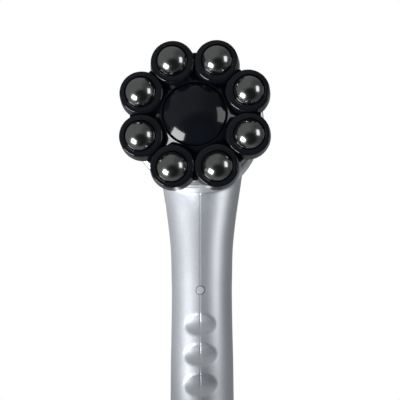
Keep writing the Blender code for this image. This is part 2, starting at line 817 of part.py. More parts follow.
# Drum: the silver housing in front of the handle, with a spigot that the shells clamp
drum_housing = turned(
    "drum_housing",
    [
        (SPIGOT_RADIUS - SPIGOT_WALL, DRUM_REAR_FWD - SPIGOT_LENGTH),
        (SPIGOT_LIP_RADIUS, DRUM_REAR_FWD - SPIGOT_LENGTH),
        (SPIGOT_LIP_RADIUS, DRUM_REAR_FWD - SPIGOT_LENGTH + SPIGOT_LIP),
        (SPIGOT_RADIUS, DRUM_REAR_FWD - SPIGOT_LENGTH + SPIGOT_LIP),
        (SPIGOT_RADIUS, DRUM_REAR_FWD),
        (DRUM_REAR_RADIUS, DRUM_REAR_FWD),
        *arc((DRUM_FRONT_RADIUS - DRUM_EDGE, DRUM_FRONT_FWD - DRUM_EDGE), DRUM_EDGE, 0, 90, 3),
        (0, DRUM_FRONT_FWD),
        (0, DRUM_INNER_FWD),
        (DRUM_FRONT_RADIUS - DRUM_EDGE, DRUM_INNER_FWD),
        (DRUM_FRONT_RADIUS - DRUM_WALL, DRUM_FRONT_FWD - DRUM_EDGE),
        (DRUM_REAR_RADIUS - DRUM_WALL, DRUM_REAR_FWD + DRUM_WALL),
        (SPIGOT_RADIUS - SPIGOT_WALL, DRUM_REAR_FWD + DRUM_WALL),
    ],
    SILVER,
    parent=head,
)
bush_outer = spindle_bore + BUSH_WALL
bush_front_fwd = DRUM_FRONT_FWD + GAP
bush_boss = rod(
    "bush_boss",
    bush_outer + GAP + BUSH_BOSS_WALL,
    FRONT_BUSH_REAR_FWD + GAP,
    DRUM_INNER_FWD + DRUM_WALL / 2,
    parent=head,
)
idler_boss = rod(
    "drum_idler_boss",
    IDLER_BOSS_RADIUS,
    OUTPUT_FACE_FWD + GAP * 2,
    DRUM_INNER_FWD + DRUM_WALL / 2,
    parent=head,
    at=idler_at,
)
post_rear_fwd = COVER_FRONT_FWD + GAP
post_front_fwd = DRUM_INNER_FWD + DRUM_WALL / 2
post_places = [polar(POST_RING_RADIUS, angle) for angle in POST_ANGLES]
drum_posts = [
    rod(f"drum_post_{index}", POST_RADIUS, post_rear_fwd, post_front_fwd, parent=head, at=(x, y, 0))
    for index, (x, y) in enumerate(post_places)
]
boolean(drum_housing, [bush_boss, idler_boss, *drum_posts], "UNION")
bush_hole = rod(
    "front_bush_hole",
    bush_outer + GAP,
    FRONT_BUSH_REAR_FWD - OVERRUN,
    DRUM_FRONT_FWD + OVERRUN,
    parent=head,
)
idler_hole = rod(
    "drum_idler_hole", pin_bore, OUTPUT_FACE_FWD - OVERRUN, DRUM_INNER_FWD, parent=head, at=idler_at
)
thread_front_fwd = post_rear_fwd + POST_THREAD
cover_threads = [
    rod(
        f"cover_thread_{index}",
        SCREW_SHANK + THREAD_GAP,
        COVER_REAR_FWD - OVERRUN,
        thread_front_fwd,
        parent=head,
        at=(x, y, 0),
    )
    for index, (x, y) in enumerate(post_places)
]
boolean(drum_housing, [bush_hole, idler_hole, *cover_threads])
ring("front_bush", spindle_bore, bush_outer, FRONT_BUSH_REAR_FWD, bush_front_fwd, BRONZE, parent=head)

# Gearbox cover
cover_radius = DRUM_REAR_RADIUS - DRUM_WALL + GAP
rear_bush_outer = spindle_bore + REAR_BUSH_WALL
bush_boss_fwd = COVER_FRONT_FWD + COVER_BUSH_BOSS
gearbox_cover = rod(
    "gearbox_cover", cover_radius, COVER_REAR_FWD, COVER_FRONT_FWD, DARK_PLASTIC, RIM_STEPS, parent=head
)
cover_bosses = [
    rod(
        "cover_bush_boss",
        rear_bush_outer + GAP + BUSH_BOSS_WALL,
        COVER_REAR_FWD + COVER_THICK / 2,
        bush_boss_fwd,
        parent=head,
    ),
    rod(
        "cover_idler_boss",
        IDLER_BOSS_RADIUS,
        COVER_REAR_FWD + COVER_THICK / 2,
        FAST_REAR_FWD - GAP * 2,
        parent=head,
        at=idler_at,
    ),
]
boolean(gearbox_cover, cover_bosses, "UNION")
cover_holes = [
    rod(label, radius, COVER_REAR_FWD - OVERRUN, FAST_REAR_FWD + OVERRUN, parent=head, at=at)
    for label, radius, at in (
        ("rear_bush_hole", rear_bush_outer + GAP, (0, 0, 0)),
        ("cover_idler_hole", pin_bore, idler_at),
        ("motor_snout_hole", MOTOR_SNOUT_RADIUS + GAP, motor_at),
    )
]
motor_screw_places = [(side * MOTOR_SCREW_OFFSET, -MOTOR_DROP, 0) for side in (-1, 1)]
motor_screw_holes = [
    rod(
        f"motor_screw_hole_{index}",
        MOTOR_SCREW_SHANK + GAP,
        MOTOR_FACE_FWD - MOTOR_FACE_THICK - OVERRUN,
        COVER_FRONT_FWD + OVERRUN,
        steps=12,
        parent=head,
        at=at,
    )
    for index, at in enumerate(motor_screw_places)
]
boolean(gearbox_cover, cover_holes + cover_threads + motor_screw_holes)
ring(
    "rear_bush",
    spindle_bore,
    rear_bush_outer,
    COVER_REAR_FWD,
    bush_boss_fwd,
    BRONZE,
    parent=head,
)
screw_head_fwd = COVER_REAR_FWD - GAP
for index, (x, y) in enumerate(post_places):
    turned(
        f"cover_screw_{index + 1}",
        [
            (0, screw_head_fwd - SCREW_HEAD_THICK),
            (SCREW_HEAD_RADIUS, screw_head_fwd - SCREW_HEAD_THICK),
            (SCREW_HEAD_RADIUS, screw_head_fwd),
            (SCREW_SHANK, screw_head_fwd),
            (SCREW_SHANK, thread_front_fwd - GAP),
            (0, thread_front_fwd - GAP),
        ],
        STEEL,
        SMALL_STEPS,
        parent=head,
        at=(x, y, 0),
    )

# Motor: can, magnet, end cap and rotor
shaft_hole = MOTOR_SHAFT_RADIUS + GAP
can_inner = MOTOR_RADIUS - MOTOR_WALL
face_rear_fwd = MOTOR_FACE_FWD - MOTOR_FACE_THICK
motor_can = turned(
    "motor_can",
    [
        (can_inner, MOTOR_REAR_FWD),
        (MOTOR_RADIUS, MOTOR_REAR_FWD),
        (MOTOR_RADIUS, MOTOR_FACE_FWD),
        (MOTOR_SNOUT_RADIUS, MOTOR_FACE_FWD),
        (MOTOR_SNOUT_RADIUS, MOTOR_FACE_FWD + MOTOR_SNOUT),
        (shaft_hole, MOTOR_FACE_FWD + MOTOR_SNOUT),
        (shaft_hole, face_rear_fwd),
        (can_inner, face_rear_fwd),
    ],
    STEEL,
    24,
    parent=head,
    at=motor_at,
)
magnet_outer = can_inner - GAP
magnet_inner = magnet_outer - MAGNET_THICK
magnet_rear_fwd = MOTOR_REAR_FWD + CORE_START - (MAGNET_LENGTH - CORE_LENGTH) / 2
ring(
    "motor_magnet",
    magnet_inner,
    magnet_outer,
    magnet_rear_fwd,
    magnet_rear_fwd + MAGNET_LENGTH,
    DARK_PLASTIC,
    24,
    parent=head,
    at=motor_at,
)
cap_front_fwd = MOTOR_REAR_FWD - GAP
turned(
    "motor_end_cap",
    [
        (0, cap_front_fwd - MOTOR_CAP_THICK),
        (MOTOR_RADIUS, cap_front_fwd - MOTOR_CAP_THICK),
        (MOTOR_RADIUS, cap_front_fwd),
        (can_inner - GAP, cap_front_fwd),
        (can_inner - GAP, cap_front_fwd + MOTOR_CAP_PLUG),
        (shaft_hole, cap_front_fwd + MOTOR_CAP_PLUG),
        (shaft_hole, cap_front_fwd),
        (0, cap_front_fwd),
    ],
    WHITE_PLASTIC,
    24,
    parent=head,
    at=motor_at,
)
core_rear_fwd = MOTOR_REAR_FWD + CORE_START
core_radius = magnet_inner - MAGNET_GAP
turned(
    "rotor",
    [
        (0, cap_front_fwd + SHAFT_TAIL),
        (MOTOR_SHAFT_RADIUS, cap_front_fwd + SHAFT_TAIL),
        (MOTOR_SHAFT_RADIUS, core_rear_fwd - COMMUTATOR_LENGTH),
        (COMMUTATOR_RADIUS, core_rear_fwd - COMMUTATOR_LENGTH),
        (COMMUTATOR_RADIUS, core_rear_fwd),
        (core_radius, core_rear_fwd),
        (core_radius, core_rear_fwd + CORE_LENGTH),
        (MOTOR_SHAFT_RADIUS, core_rear_fwd + CORE_LENGTH),
        (MOTOR_SHAFT_RADIUS, FAST_FRONT_FWD + PINION_EXTRA),
        (0, FAST_FRONT_FWD + PINION_EXTRA),
    ],
    STEEL,
    SMALL_STEPS,
    parent=head,
    at=motor_at,
)
boolean(motor_can, motor_screw_holes)
for index, at in enumerate(motor_screw_places):
    turned(
        f"motor_screw_{index + 1}",
        [
            (0, face_rear_fwd - MOTOR_SCREW_REACH),
            (MOTOR_SCREW_SHANK, face_rear_fwd - MOTOR_SCREW_REACH),
            (MOTOR_SCREW_SHANK, COVER_FRONT_FWD + GAP),
            (MOTOR_SCREW_HEAD, COVER_FRONT_FWD + GAP),
            (MOTOR_SCREW_HEAD, COVER_FRONT_FWD + GAP + SCREW_HEAD_THICK),
            (0, COVER_FRONT_FWD + GAP + SCREW_HEAD_THICK),
        ],
        STEEL,
        12,
        parent=head,
        at=at,
    )

# Handle outline: height as a share of the head's height, then width, front and back as shares of the grip's
SHAPE_SHARES = (
    (0.150, 1.035, 1.020, 1.000),
    (0.292, 1.026, 1.010, 1.000),
    (0.409, 1.006, 1.004, 1.000),
    (0.519, 0.996, 1.000, 1.000),
    (0.559, 1.006, 1.000, 1.000),
    (0.652, 1.036, 0.996, 1.000),
    (0.731, 1.123, 0.990, 1.000),
    (0.780, 1.195, 0.985, 1.010),
    (0.830, 1.278, 0.980, 1.020),
    (0.867, 1.339, 0.972, 1.020),
    (0.915, 1.400, 0.950, 1.000),
    (1.000, 1.400, 0.900, 0.920),
)
TOE_SHARES = ((0.0, 1.0), (0.12, 1.0), (0.30, 0.80), (0.50, 0.42), (0.75, 0.12))


def handle_stations():
    """Rows of (height, half width, front depth, back depth) from the base up."""
    rows = []
    foot_width, foot_front = GRIP_RADIUS * SHAPE_SHARES[0][1], GRIP_DEPTH_FRONT * SHAPE_SHARES[0][2]
    for rise_share, flare_share in TOE_SHARES:
        rows.append(
            (
                SHELL_BASE + (TOE_TOP - SHELL_BASE) * rise_share,
                foot_width + (BASE_HALF_WIDTH - foot_width) * flare_share,
                foot_front + (TOE_REACH - foot_front) * flare_share,
                GRIP_DEPTH_BACK,
            )
        )
    for rise_share, width_share, front_share, back_share in SHAPE_SHARES:
        rows.append(
            (
                HEAD_HEIGHT * rise_share,
                GRIP_RADIUS * width_share,
                GRIP_DEPTH_FRONT * front_share,
                GRIP_DEPTH_BACK * back_share,
            )
        )
    return rows


def handle_ring(height, half_width, front, back, inset, count=RING_POINTS):
    """An oval round the handle's axis, inset by a wall."""
    points = []
    for index in range(count):
        angle = math.tau * index / count
        depth = back if math.sin(angle) > 0 else front
        points.append((math.cos(angle) * (half_width - inset), math.sin(angle) * (depth - inset), height))
    return points


stations = handle_stations()
handle_form = loft("handle_form", [handle_ring(*row, 0) for row in stations])
cavity_rows = [(SHELL_BASE - OVERRUN, *stations[0][1:]), *stations[1:]]
handle_cavity = loft("handle_cavity", [handle_ring(*row, SHELL_WALL, CAVITY_POINTS) for row in cavity_rows])


def pod_profile(inset):
    """The round housing behind the drum, from its front edge to the middle of its back."""
    rear = POD_REAR_RADIUS - inset
    depth = POD_BACK_DEPTH - inset
    points = []
    for step in range(6):
        lean = math.pi / 2 * step / 6
        bulge = math.sin(lean) ** (4 / 3)
        points.append((rear * math.cos(lean) ** (3 / 4), -depth * bulge))
    points.append((0, -depth))
    return points


pod = turned(
    "pod_form",
    [
        (0, POD_FRONT_FWD),
        (DRUM_REAR_RADIUS - GAP, POD_FRONT_FWD),
        ((DRUM_REAR_RADIUS * 2 + POD_REAR_RADIUS) / 3, POD_FRONT_FWD / 2),
        *pod_profile(0),
    ][::-1],
    parent=head,
)
boolean(handle_form, pod, "UNION")
rib_rear_fwd = DRUM_REAR_FWD - SPIGOT_LENGTH + SPIGOT_LIP + GAP
rib_inner = SPIGOT_RADIUS + GAP
lip_room = SPIGOT_LIP_RADIUS + GAP
pod_cavity = turned(
    "pod_cavity",
    [
        (0, POD_FRONT_FWD + OVERRUN),
        (rib_inner, POD_FRONT_FWD + OVERRUN),
        (rib_inner, rib_rear_fwd),
        (lip_room, rib_rear_fwd),
        (lip_room, POD_FRONT_FWD / 2),
        *pod_profile(SHELL_WALL),
    ][::-1],
    parent=head,
)
boolean(handle_cavity, pod_cavity, "UNION")

# Finger scoops, and the same scoops thickened by the wall on the inside
scoops = []
for index in range(SCOOP_COUNT):
    at = (0, -GRIP_DEPTH_FRONT - SCOOP_RADIUS + SCOOP_DEPTH, SCOOP_TOP - SCOOP_PITCH * index)
    reach = GRIP_RADIUS + OVERRUN
    along_x = (0, math.pi / 2, 0)
    rolls = {"steps": SCOOP_STEPS, "at": at, "turn": along_x}
    scoops.append(rod(f"scoop_{index}", SCOOP_RADIUS, -reach, reach, **rolls))
    inner = rod(f"scoop_wall_{index}", SCOOP_RADIUS + SHELL_WALL, -reach, reach, **rolls)
    boolean(handle_cavity, inner)

# Screw bosses and board rails are left standing in the cavity
shell_screws = [
    (-TOE_SCREW_FORWARD, TOE_SCREW_HEIGHT),
    (0, GRIP_SCREW_HEIGHT),
    (-NECK_SCREW_FORWARD, NECK_SCREW_HEIGHT),
    (POD_SCREW_BACK, HEAD_HEIGHT + POD_SCREW_RISE),
]
standing = [
    rod(f"shell_boss_{index}", SHELL_BOSS_RADIUS, -SPIGOT_RADIUS, SPIGOT_RADIUS, at=(0, y, z), turn=along_x)
    for index, (y, z) in enumerate(shell_screws)
]
rail_inner = BOARD_HALF_WIDTH - RAIL_GRIP
rail_faces = (
    (BOARD_FRONT - GAP - RAIL_DEPTH, BOARD_FRONT - GAP),
    (BOARD_BACK + GAP, BOARD_BACK + GAP + RAIL_DEPTH),
)
for side in (-1, 1):
    for low in (BOARD_LOW + RAIL_RISE, BOARD_HIGH - RAIL_DROP):
        for near, far in rail_faces:
            ends = sorted((side * rail_inner, side * GRIP_RADIUS))
            standing.append(block("rail", (ends[0], near, low), (ends[1], far, low + RAIL_HEIGHT)))
boolean(handle_cavity, standing)

# Openings through both shells, and the stepped wells of the shell screws
far_side = DRUM_FRONT_RADIUS * 2
openings = [
    rod(
        "lens_hole",
        LENS_RADIUS + GAP,
        LENS_FLANGE_FRONT,
        GRIP_DEPTH_FRONT + OVERRUN,
        at=(0, 0, LENS_HEIGHT),
        turn=(math.pi / 2, 0, 0),
    ),
    rod(
        "jack_hole",
        JACK_RADIUS + GAP,
        GRIP_DEPTH_BACK - SHELL_WALL * 2,
        GRIP_DEPTH_BACK + OVERRUN,
        at=(0, 0, SOCKET_HEIGHT),
        turn=(-math.pi / 2, 0, 0),
    ),
    block(
        "slider_slot",
        (
            -NECK_HALF_WIDTH - GAP,
            GRIP_DEPTH_BACK - SHELL_WALL * 2,
            KNOB_HEIGHT - NECK_HALF_LENGTH - GAP,
        ),
        (
            NECK_HALF_WIDTH + GAP,
            GRIP_DEPTH_BACK + OVERRUN,
            KNOB_HEIGHT + KNOB_TRAVEL + NECK_HALF_LENGTH + GAP,
        ),
    ),
]
wells = [
    turned(
        f"well_{index}",
        [
            (0, -far_side),
            (SHELL_SCREW_HEAD + GAP, -far_side),
            (SHELL_SCREW_HEAD + GAP, -SHELL_SCREW_SEAT),
            (SHELL_SCREW_SHANK + THREAD_GAP, -SHELL_SCREW_SEAT),
            (SHELL_SCREW_SHANK + THREAD_GAP, SHELL_SCREW_THREAD + GAP),
            (0, SHELL_SCREW_THREAD + GAP),
        ],
        steps=SMALL_STEPS,
        at=(0, y, z),
        turn=along_x,
    )
    for index, (y, z) in enumerate(shell_screws)
]
boolean(handle_form, scoops + openings + wells)

half_gap = SPLIT_GAP / 2
for label, side in (("left", -1), ("right", 1)):
    shell = block(
        f"handle_shell_{label}",
        (min(side * half_gap, side * far_side), -far_side, 0),
        (max(side * half_gap, side * far_side), far_side, HEAD_HEIGHT + far_side),
        SILVER,
    )
    boolean(shell, handle_form, "INTERSECT", "MANIFOLD")
    boolean(shell, handle_cavity, solver="MANIFOLD")
head_face = SHELL_SCREW_SEAT + GAP
for index, (y, z) in enumerate(shell_screws):
    turned(
        f"shell_screw_{index + 1}",
        [
            (0, -head_face - SHELL_SCREW_HEAD_THICK),
            (SHELL_SCREW_HEAD, -head_face - SHELL_SCREW_HEAD_THICK),
            (SHELL_SCREW_HEAD, -head_face),
            (SHELL_SCREW_SHANK, -head_face),
            (SHELL_SCREW_SHANK, SHELL_SCREW_THREAD),
            (0, SHELL_SCREW_THREAD),
        ],
        STEEL,
        SMALL_STEPS,
        at=(0, y, z),
        turn=(0, math.pi / 2, 0),
    )

# Base cap and foot pad
foot_row = stations[0][1:]
base_cap = loft(
    "base_cap",
    [
        handle_ring(CAP_LOW, *foot_row, CAP_CHAMFER),
        handle_ring(CAP_LOW + CAP_CHAMFER, *foot_row, 0),
        handle_ring(CAP_TOP, *foot_row, 0),
    ],
    SILVER,
)
boolean(
    base_cap,
    loft(
        "base_plug",
        [
            handle_ring(CAP_TOP - CAP_CHAMFER, *foot_row, SHELL_WALL + GAP, CAVITY_POINTS),
            handle_ring(PLUG_TOP, *foot_row, SHELL_WALL + GAP * 2, CAVITY_POINTS),
        ],
    ),
    "UNION",
)
loft(
    "foot_pad",
    [handle_ring(0, *foot_row, FOOT_INSET), handle_ring(FOOT_THICK, *foot_row, FOOT_INSET)],
    RUBBER,
)

# Battery: tray, two cells and the link between them
tray_back = CELL_RADIUS + GAP
tray_bound = tray_back + TRAY_WALL
battery_tray = block(
    "battery_tray",
    (-TRAY_HALF_WIDTH, -TRAY_FRONT, TRAY_LOW),
    (TRAY_HALF_WIDTH, tray_bound, TRAY_TOP),
    DARK_PLASTIC,
)
boolean(
    battery_tray,
    block(
        "tray_room",
        (-TRAY_HALF_WIDTH - OVERRUN, -TRAY_FRONT - OVERRUN, TRAY_LOW + TRAY_WALL),
        (TRAY_HALF_WIDTH + OVERRUN, tray_back, TRAY_ROOF),
    ),
)
link_low = TRAY_LOW + TRAY_WALL + GAP
block(
    "cell_link",
    (-LINK_HALF_WIDTH, -LINK_HALF_DEPTH, link_low),
    (LINK_HALF_WIDTH, LINK_HALF_DEPTH, link_low + LINK_THICK),
    STEEL,
)
for index, side in enumerate((-1, 1)):
    turned(
        f"battery_cell_{index + 1}",
        [
            (0, CELL_LOW),
            (CELL_RADIUS, CELL_LOW),
            (CELL_RADIUS, CELL_HIGH),
            (CELL_TIP_RADIUS, CELL_HIGH),
            (CELL_TIP_RADIUS, CELL_HIGH + CELL_TIP),
            (0, CELL_HIGH + CELL_TIP),
        ],
        CELL_BLUE,
        SMALL_STEPS,
        at=(side * CELL_SPACING / 2, 0, 0),
    )

# Control board with the slide switch, the indicator lamp and its light pipe
block(
    "control_board",
    (-BOARD_HALF_WIDTH, BOARD_FRONT, BOARD_LOW),
    (BOARD_HALF_WIDTH, BOARD_BACK, BOARD_HIGH),
    BOARD_GREEN,
)
lamp_base = -BOARD_FRONT + GAP
lamp_tip = PIPE_REAR - GAP
turned(
    "indicator_lamp",
    [
        (0, lamp_base),
        (LAMP_BASE_RADIUS, lamp_base),
        (LAMP_BASE_RADIUS, lamp_base + LAMP_BASE_THICK),
        (LAMP_RADIUS, lamp_base + LAMP_BASE_THICK),
        *arc((0, lamp_tip - LAMP_RADIUS), LAMP_RADIUS, 0, 90, 3)[:-1],
        (0, lamp_tip),
    ],
    LENS_TINT,
    12,
    at=(0, 0, LENS_HEIGHT),
    turn=(math.pi / 2, 0, 0),
)
lens_front = GRIP_DEPTH_FRONT + LENS_DOME
flange_rear = LENS_FLANGE_FRONT - LENS_FLANGE_THICK
lens_curve = (LENS_RADIUS**2 + LENS_DOME**2) / (2 * LENS_DOME)
lens_slope = math.degrees(math.acos(LENS_RADIUS / lens_curve))
turned(
    "indicator_lens",
    [
        (0, PIPE_REAR),
        (PIPE_RADIUS, PIPE_REAR),
        (PIPE_RADIUS, flange_rear),
        (LENS_FLANGE_RADIUS, flange_rear),
        (LENS_FLANGE_RADIUS, LENS_FLANGE_FRONT),
        (LENS_RADIUS, LENS_FLANGE_FRONT),
        *arc((0, lens_front - lens_curve), lens_curve, lens_slope, 90, 3)[:-1],
        (0, lens_front),
    ],
    LENS_TINT,
    24,
    at=(0, 0, LENS_HEIGHT),
    turn=(math.pi / 2, 0, 0),
)
switch_low = BOARD_BACK + GAP
switch_top = switch_low + SWITCH_HEIGHT
switch_centre = KNOB_HEIGHT + KNOB_TRAVEL / 2
block(
    "switch_body",
    (-SWITCH_HALF_WIDTH, switch_low, switch_centre - SWITCH_HALF_LENGTH),
    (SWITCH_HALF_WIDTH, switch_top, switch_centre + SWITCH_HALF_LENGTH),
    DARK_PLASTIC,
)

# Speed knob: ridged pad, neck, shutter and stem
pad_low = GRIP_DEPTH_BACK + GAP
pad_outline = [(-KNOB_HALF_LENGTH, pad_low), (KNOB_HALF_LENGTH, pad_low)]
ridge_pitch = KNOB_HALF_LENGTH * 2 / KNOB_RIDGES
for ridge in range(KNOB_RIDGES):
    start = KNOB_HALF_LENGTH - ridge * ridge_pitch
    pad_outline.append((start, pad_low + KNOB_THICK - KNOB_RIDGE_DEPTH))
    pad_outline.append((start - ridge_pitch / 2, pad_low + KNOB_THICK))
pad_outline.append((-KNOB_HALF_LENGTH, pad_low + KNOB_THICK - KNOB_RIDGE_DEPTH))
speed_knob = prism(
    "speed_knob",
    pad_outline,
    -KNOB_HALF_WIDTH,
    KNOB_HALF_WIDTH,
    BLACK_GLOSS,
    at=(0, 0, KNOB_HEIGHT),
    turn=(0, math.pi / 2, 0),
)
shutter_middle = SHUTTER_BACK - SHUTTER_THICK / 2
knob_blocks = [
    ("knob_neck", NECK_HALF_WIDTH, NECK_HALF_LENGTH, shutter_middle, pad_low + KNOB_THICK / 2),
    ("knob_shutter", KNOB_HALF_WIDTH, SHUTTER_HALF_LENGTH, SHUTTER_BACK - SHUTTER_THICK, SHUTTER_BACK),
    ("knob_stem", STEM_HALF_WIDTH, STEM_HALF_LENGTH, switch_top + GAP, shutter_middle),
]
for label, half_width, half_length, near, far in knob_blocks:
    piece = block(
        label,
        (-half_width, near, KNOB_HEIGHT - half_length),
        (half_width, far, KNOB_HEIGHT + half_length),
    )
    boolean(speed_knob, piece, "UNION")

# Charging socket: flange inside the shells, a round mouth and its centre pin
jack_rear = tray_bound + GAP
jack_mouth = GRIP_DEPTH_BACK
jack_floor = jack_mouth - JACK_DEPTH
flange_front = GRIP_DEPTH_BACK - SHELL_WALL - JACK_FLANGE_THICK
turned(
    "charging_socket",
    [
        (0, jack_rear),
        (JACK_RADIUS, jack_rear),
        (JACK_RADIUS, flange_front - JACK_FLANGE_THICK),
        (JACK_FLANGE_RADIUS, flange_front - JACK_FLANGE_THICK),
        (JACK_FLANGE_RADIUS, flange_front),
        (JACK_RADIUS, flange_front),
        (JACK_RADIUS, jack_mouth),
        (JACK_BORE, jack_mouth),
        (JACK_BORE, jack_floor),
        (JACK_PIN_RADIUS, jack_floor),
        (JACK_PIN_RADIUS, jack_mouth - JACK_PIN_SHORT),
        (0, jack_mouth - JACK_PIN_SHORT),
    ],
    DARK_PLASTIC,
    24,
    at=(0, 0, SOCKET_HEIGHT),
    turn=(-math.pi / 2, 0, 0),
)


def smooth_route(points, count):
    """Evenly counted points on a smooth curve through the route's own points."""
    route = [Vector(point) for point in points]
    route = [route[0] * 2 - route[1], *route, route[-1] * 2 - route[-2]]
    spans = len(route) - 3
    found = []
    for step in range(count + 1):
        place_on = min(step * spans / count, spans - 1e-9)
        span = int(place_on)
        share = place_on - span
        a, b, c, d = route[span : span + 4]
        found.append(
            (
                b * 2
                + (c - a) * share
                + (a * 2 - b * 5 + c * 4 - d) * share**2
                + (b * 3 - a - c * 3 + d) * share**3
            )
            / 2
        )
    return found


def lead(name, points, look):
    curve = bpy.data.curves.new(name, "CURVE")
    curve.dimensions = "3D"
    curve.bevel_depth = LEAD_RADIUS
    curve.bevel_resolution = 1
    curve.use_fill_caps = True
    spline = curve.splines.new("POLY")
    route = smooth_route(points, LEAD_POINTS)
    spline.points.add(len(route) - 1)
    for point, position in zip(spline.points, route):
        point.co = (*position, 1)
    curve.materials.append(material_for(name, look))
    bpy.context.scene.collection.objects.link(bpy.data.objects.new(name, curve))


# Leads from the motor to the board, and from the battery tray to the board
motor_terminal = -(cap_front_fwd - MOTOR_CAP_THICK) + GAP
lead_height = HEAD_HEIGHT - MOTOR_DROP
board_solder = BOARD_BACK + GAP + LEAD_RADIUS
for label, side, look in (("red", 1, LEAD_RED), ("black", -1, LEAD_BLACK)):
    x = side * LEAD_SPREAD
    lead(
        f"motor_lead_{label}",
        [
            (x, motor_terminal, lead_height),
            (x, motor_terminal + LEAD_RADIUS * 2, lead_height),
            (x, motor_terminal + LEAD_BOW, lead_height - LEAD_BOW),
            (x, motor_terminal + LEAD_BOW, lead_height - LEAD_BOW * 3),
            (x, board_solder + LEAD_RADIUS * 2, BOARD_HIGH + LEAD_BOW),
            (x, board_solder, BOARD_HIGH - LEAD_BOW / 2),
        ],
        look,
    )
    x = side * BATTERY_LEAD_SPREAD
    lead(
        f"battery_lead_{label}",
        [
            (x, tray_back, TRAY_TOP + GAP),
            (x, tray_back, TRAY_TOP + LEAD_RADIUS * 2),
            (x, tray_back + LEAD_RADIUS, (TRAY_ROOF + BOARD_LOW) / 2),
            (x, board_solder + LEAD_RADIUS, BOARD_LOW),
            (x, board_solder, BOARD_LOW + LEAD_BOW),
        ],
        look,
    )
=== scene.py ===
# %% [markdown]
# # A hand-held massager with a flower of rolling balls
#
# The object is a silver handle with a drum across its top. In front of the drum turns a black flower of
# eight cups, each with a dark polished ball. The working model, with every joint, is loaded as a fixed
# frame. This lesson dresses it: fine meshes over the faceted solids, and a finish for each material.

import json
import math

import bmesh
import bpy
from mathutils import Matrix, Vector

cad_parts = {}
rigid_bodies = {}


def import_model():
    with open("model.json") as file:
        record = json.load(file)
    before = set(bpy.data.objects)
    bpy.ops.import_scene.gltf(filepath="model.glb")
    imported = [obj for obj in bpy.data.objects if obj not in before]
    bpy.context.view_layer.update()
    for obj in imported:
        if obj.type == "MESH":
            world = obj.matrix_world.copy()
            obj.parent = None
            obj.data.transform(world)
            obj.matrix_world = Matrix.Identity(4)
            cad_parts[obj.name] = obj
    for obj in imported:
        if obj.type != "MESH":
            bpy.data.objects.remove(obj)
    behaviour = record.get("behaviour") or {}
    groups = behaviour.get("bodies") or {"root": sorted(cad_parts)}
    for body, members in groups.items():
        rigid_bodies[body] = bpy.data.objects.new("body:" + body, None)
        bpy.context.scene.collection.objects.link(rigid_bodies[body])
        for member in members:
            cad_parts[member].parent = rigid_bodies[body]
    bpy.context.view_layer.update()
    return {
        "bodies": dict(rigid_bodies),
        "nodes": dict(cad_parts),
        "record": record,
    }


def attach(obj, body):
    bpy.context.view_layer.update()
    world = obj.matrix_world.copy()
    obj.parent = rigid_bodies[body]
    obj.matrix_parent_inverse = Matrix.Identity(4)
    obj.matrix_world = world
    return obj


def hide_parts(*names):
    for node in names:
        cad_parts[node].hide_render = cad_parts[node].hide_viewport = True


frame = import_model()
print("bodies:", ", ".join(frame["bodies"]))

# %% [markdown]
# ## Sizes
#
# The lesson needs the main sizes of the solids again, in metres. The head is written in a frame of its
# own, because a lathe turns about z: there z points forward out of the head, and a size named FWD is a
# distance in front of the handle's axis.

# %% Sizes of the head
HEAD_HEIGHT = 0.264
BALL_COUNT = 8
BALL_RADIUS = 0.0127
BALL_RING = 0.045
BALL_FWD = 0.092
SOCKET_RADIUS = 0.0131
LIP_FWD = 0.0969
SPLIT_FWD = 0.086
WEB_FWD = 0.093
WEB_RADIUS = 0.0505
DOME_RADIUS = 0.0248
DOME_CURVE = 0.038
DRUM_FRONT_RADIUS = 0.053
DRUM_REAR_RADIUS = 0.049
DRUM_FRONT_FWD = 0.0667
DRUM_REAR_FWD = 0.0247
GAP = 0.0003
head_frame = Matrix.Translation((0, 0, HEAD_HEIGHT)) @ Matrix.Rotation(math.pi / 2, 4, "X")
cup_angles = [math.tau * (index + 0.5) / BALL_COUNT for index in range(BALL_COUNT)]
print("ring of balls:", round(2000 * BALL_RING), "mm across")

# %% [markdown]
# The handle stands on z = 0, and its seam lies in the plane x = 0. Its oval has one depth in front and
# another behind. The small pieces on it are placed by their heights.

# %% Sizes of the handle
GRIP_RADIUS = 0.0248
GRIP_FRONT = 0.0248
GRIP_BACK = 0.026
FOOT_WIDTH = 0.0272
FOOT_FRONT = 0.048
SHELL_BASE = 0.0043
SHELL_WALL = 0.0022
LENS_HEIGHT = 0.136
KNOB_HEIGHT = 0.149
SOCKET_HEIGHT = 0.032
print("grip:", round(2000 * GRIP_RADIUS, 1), "mm across")

# %% [markdown]
# ## The camera
#
# The camera's place comes from a fit to the eight balls and the handle's edges: it stands 0.95 m in front
# of the handle's axis, a little to the right and below the head, and looks slightly up. It is made first,
# so that each piece can be looked at as it is added.

# %% Camera
camera_data = bpy.data.cameras.new("camera")
camera_data.lens = 104.2
camera_data.sensor_width = 36
camera = bpy.data.objects.new("camera", camera_data)
bpy.context.scene.collection.objects.link(camera)
bpy.context.scene.camera = camera
yaw, pitch, roll = math.radians(-3.275), math.radians(9.927), math.radians(0.135)
camera.location = (0.053, -0.95, 0.0471)
camera.rotation_mode = "XYZ"
level = Matrix.Rotation(-yaw, 4, "Z") @ Matrix.Rotation(math.pi / 2 + pitch, 4, "X")
camera.rotation_euler = (level @ Matrix.Rotation(-roll, 4, "Z")).to_euler()
print("camera at", [round(c, 3) for c in camera.location])

# %% [markdown]
# ## Tools for meshes
#
# Almost every piece is turned on a lathe or moulded from a shape that is. A mesh could be drawn point by
# point, but a profile of (radius, height) points that is spun about an axis says the same in a few lines
# and closes by itself.


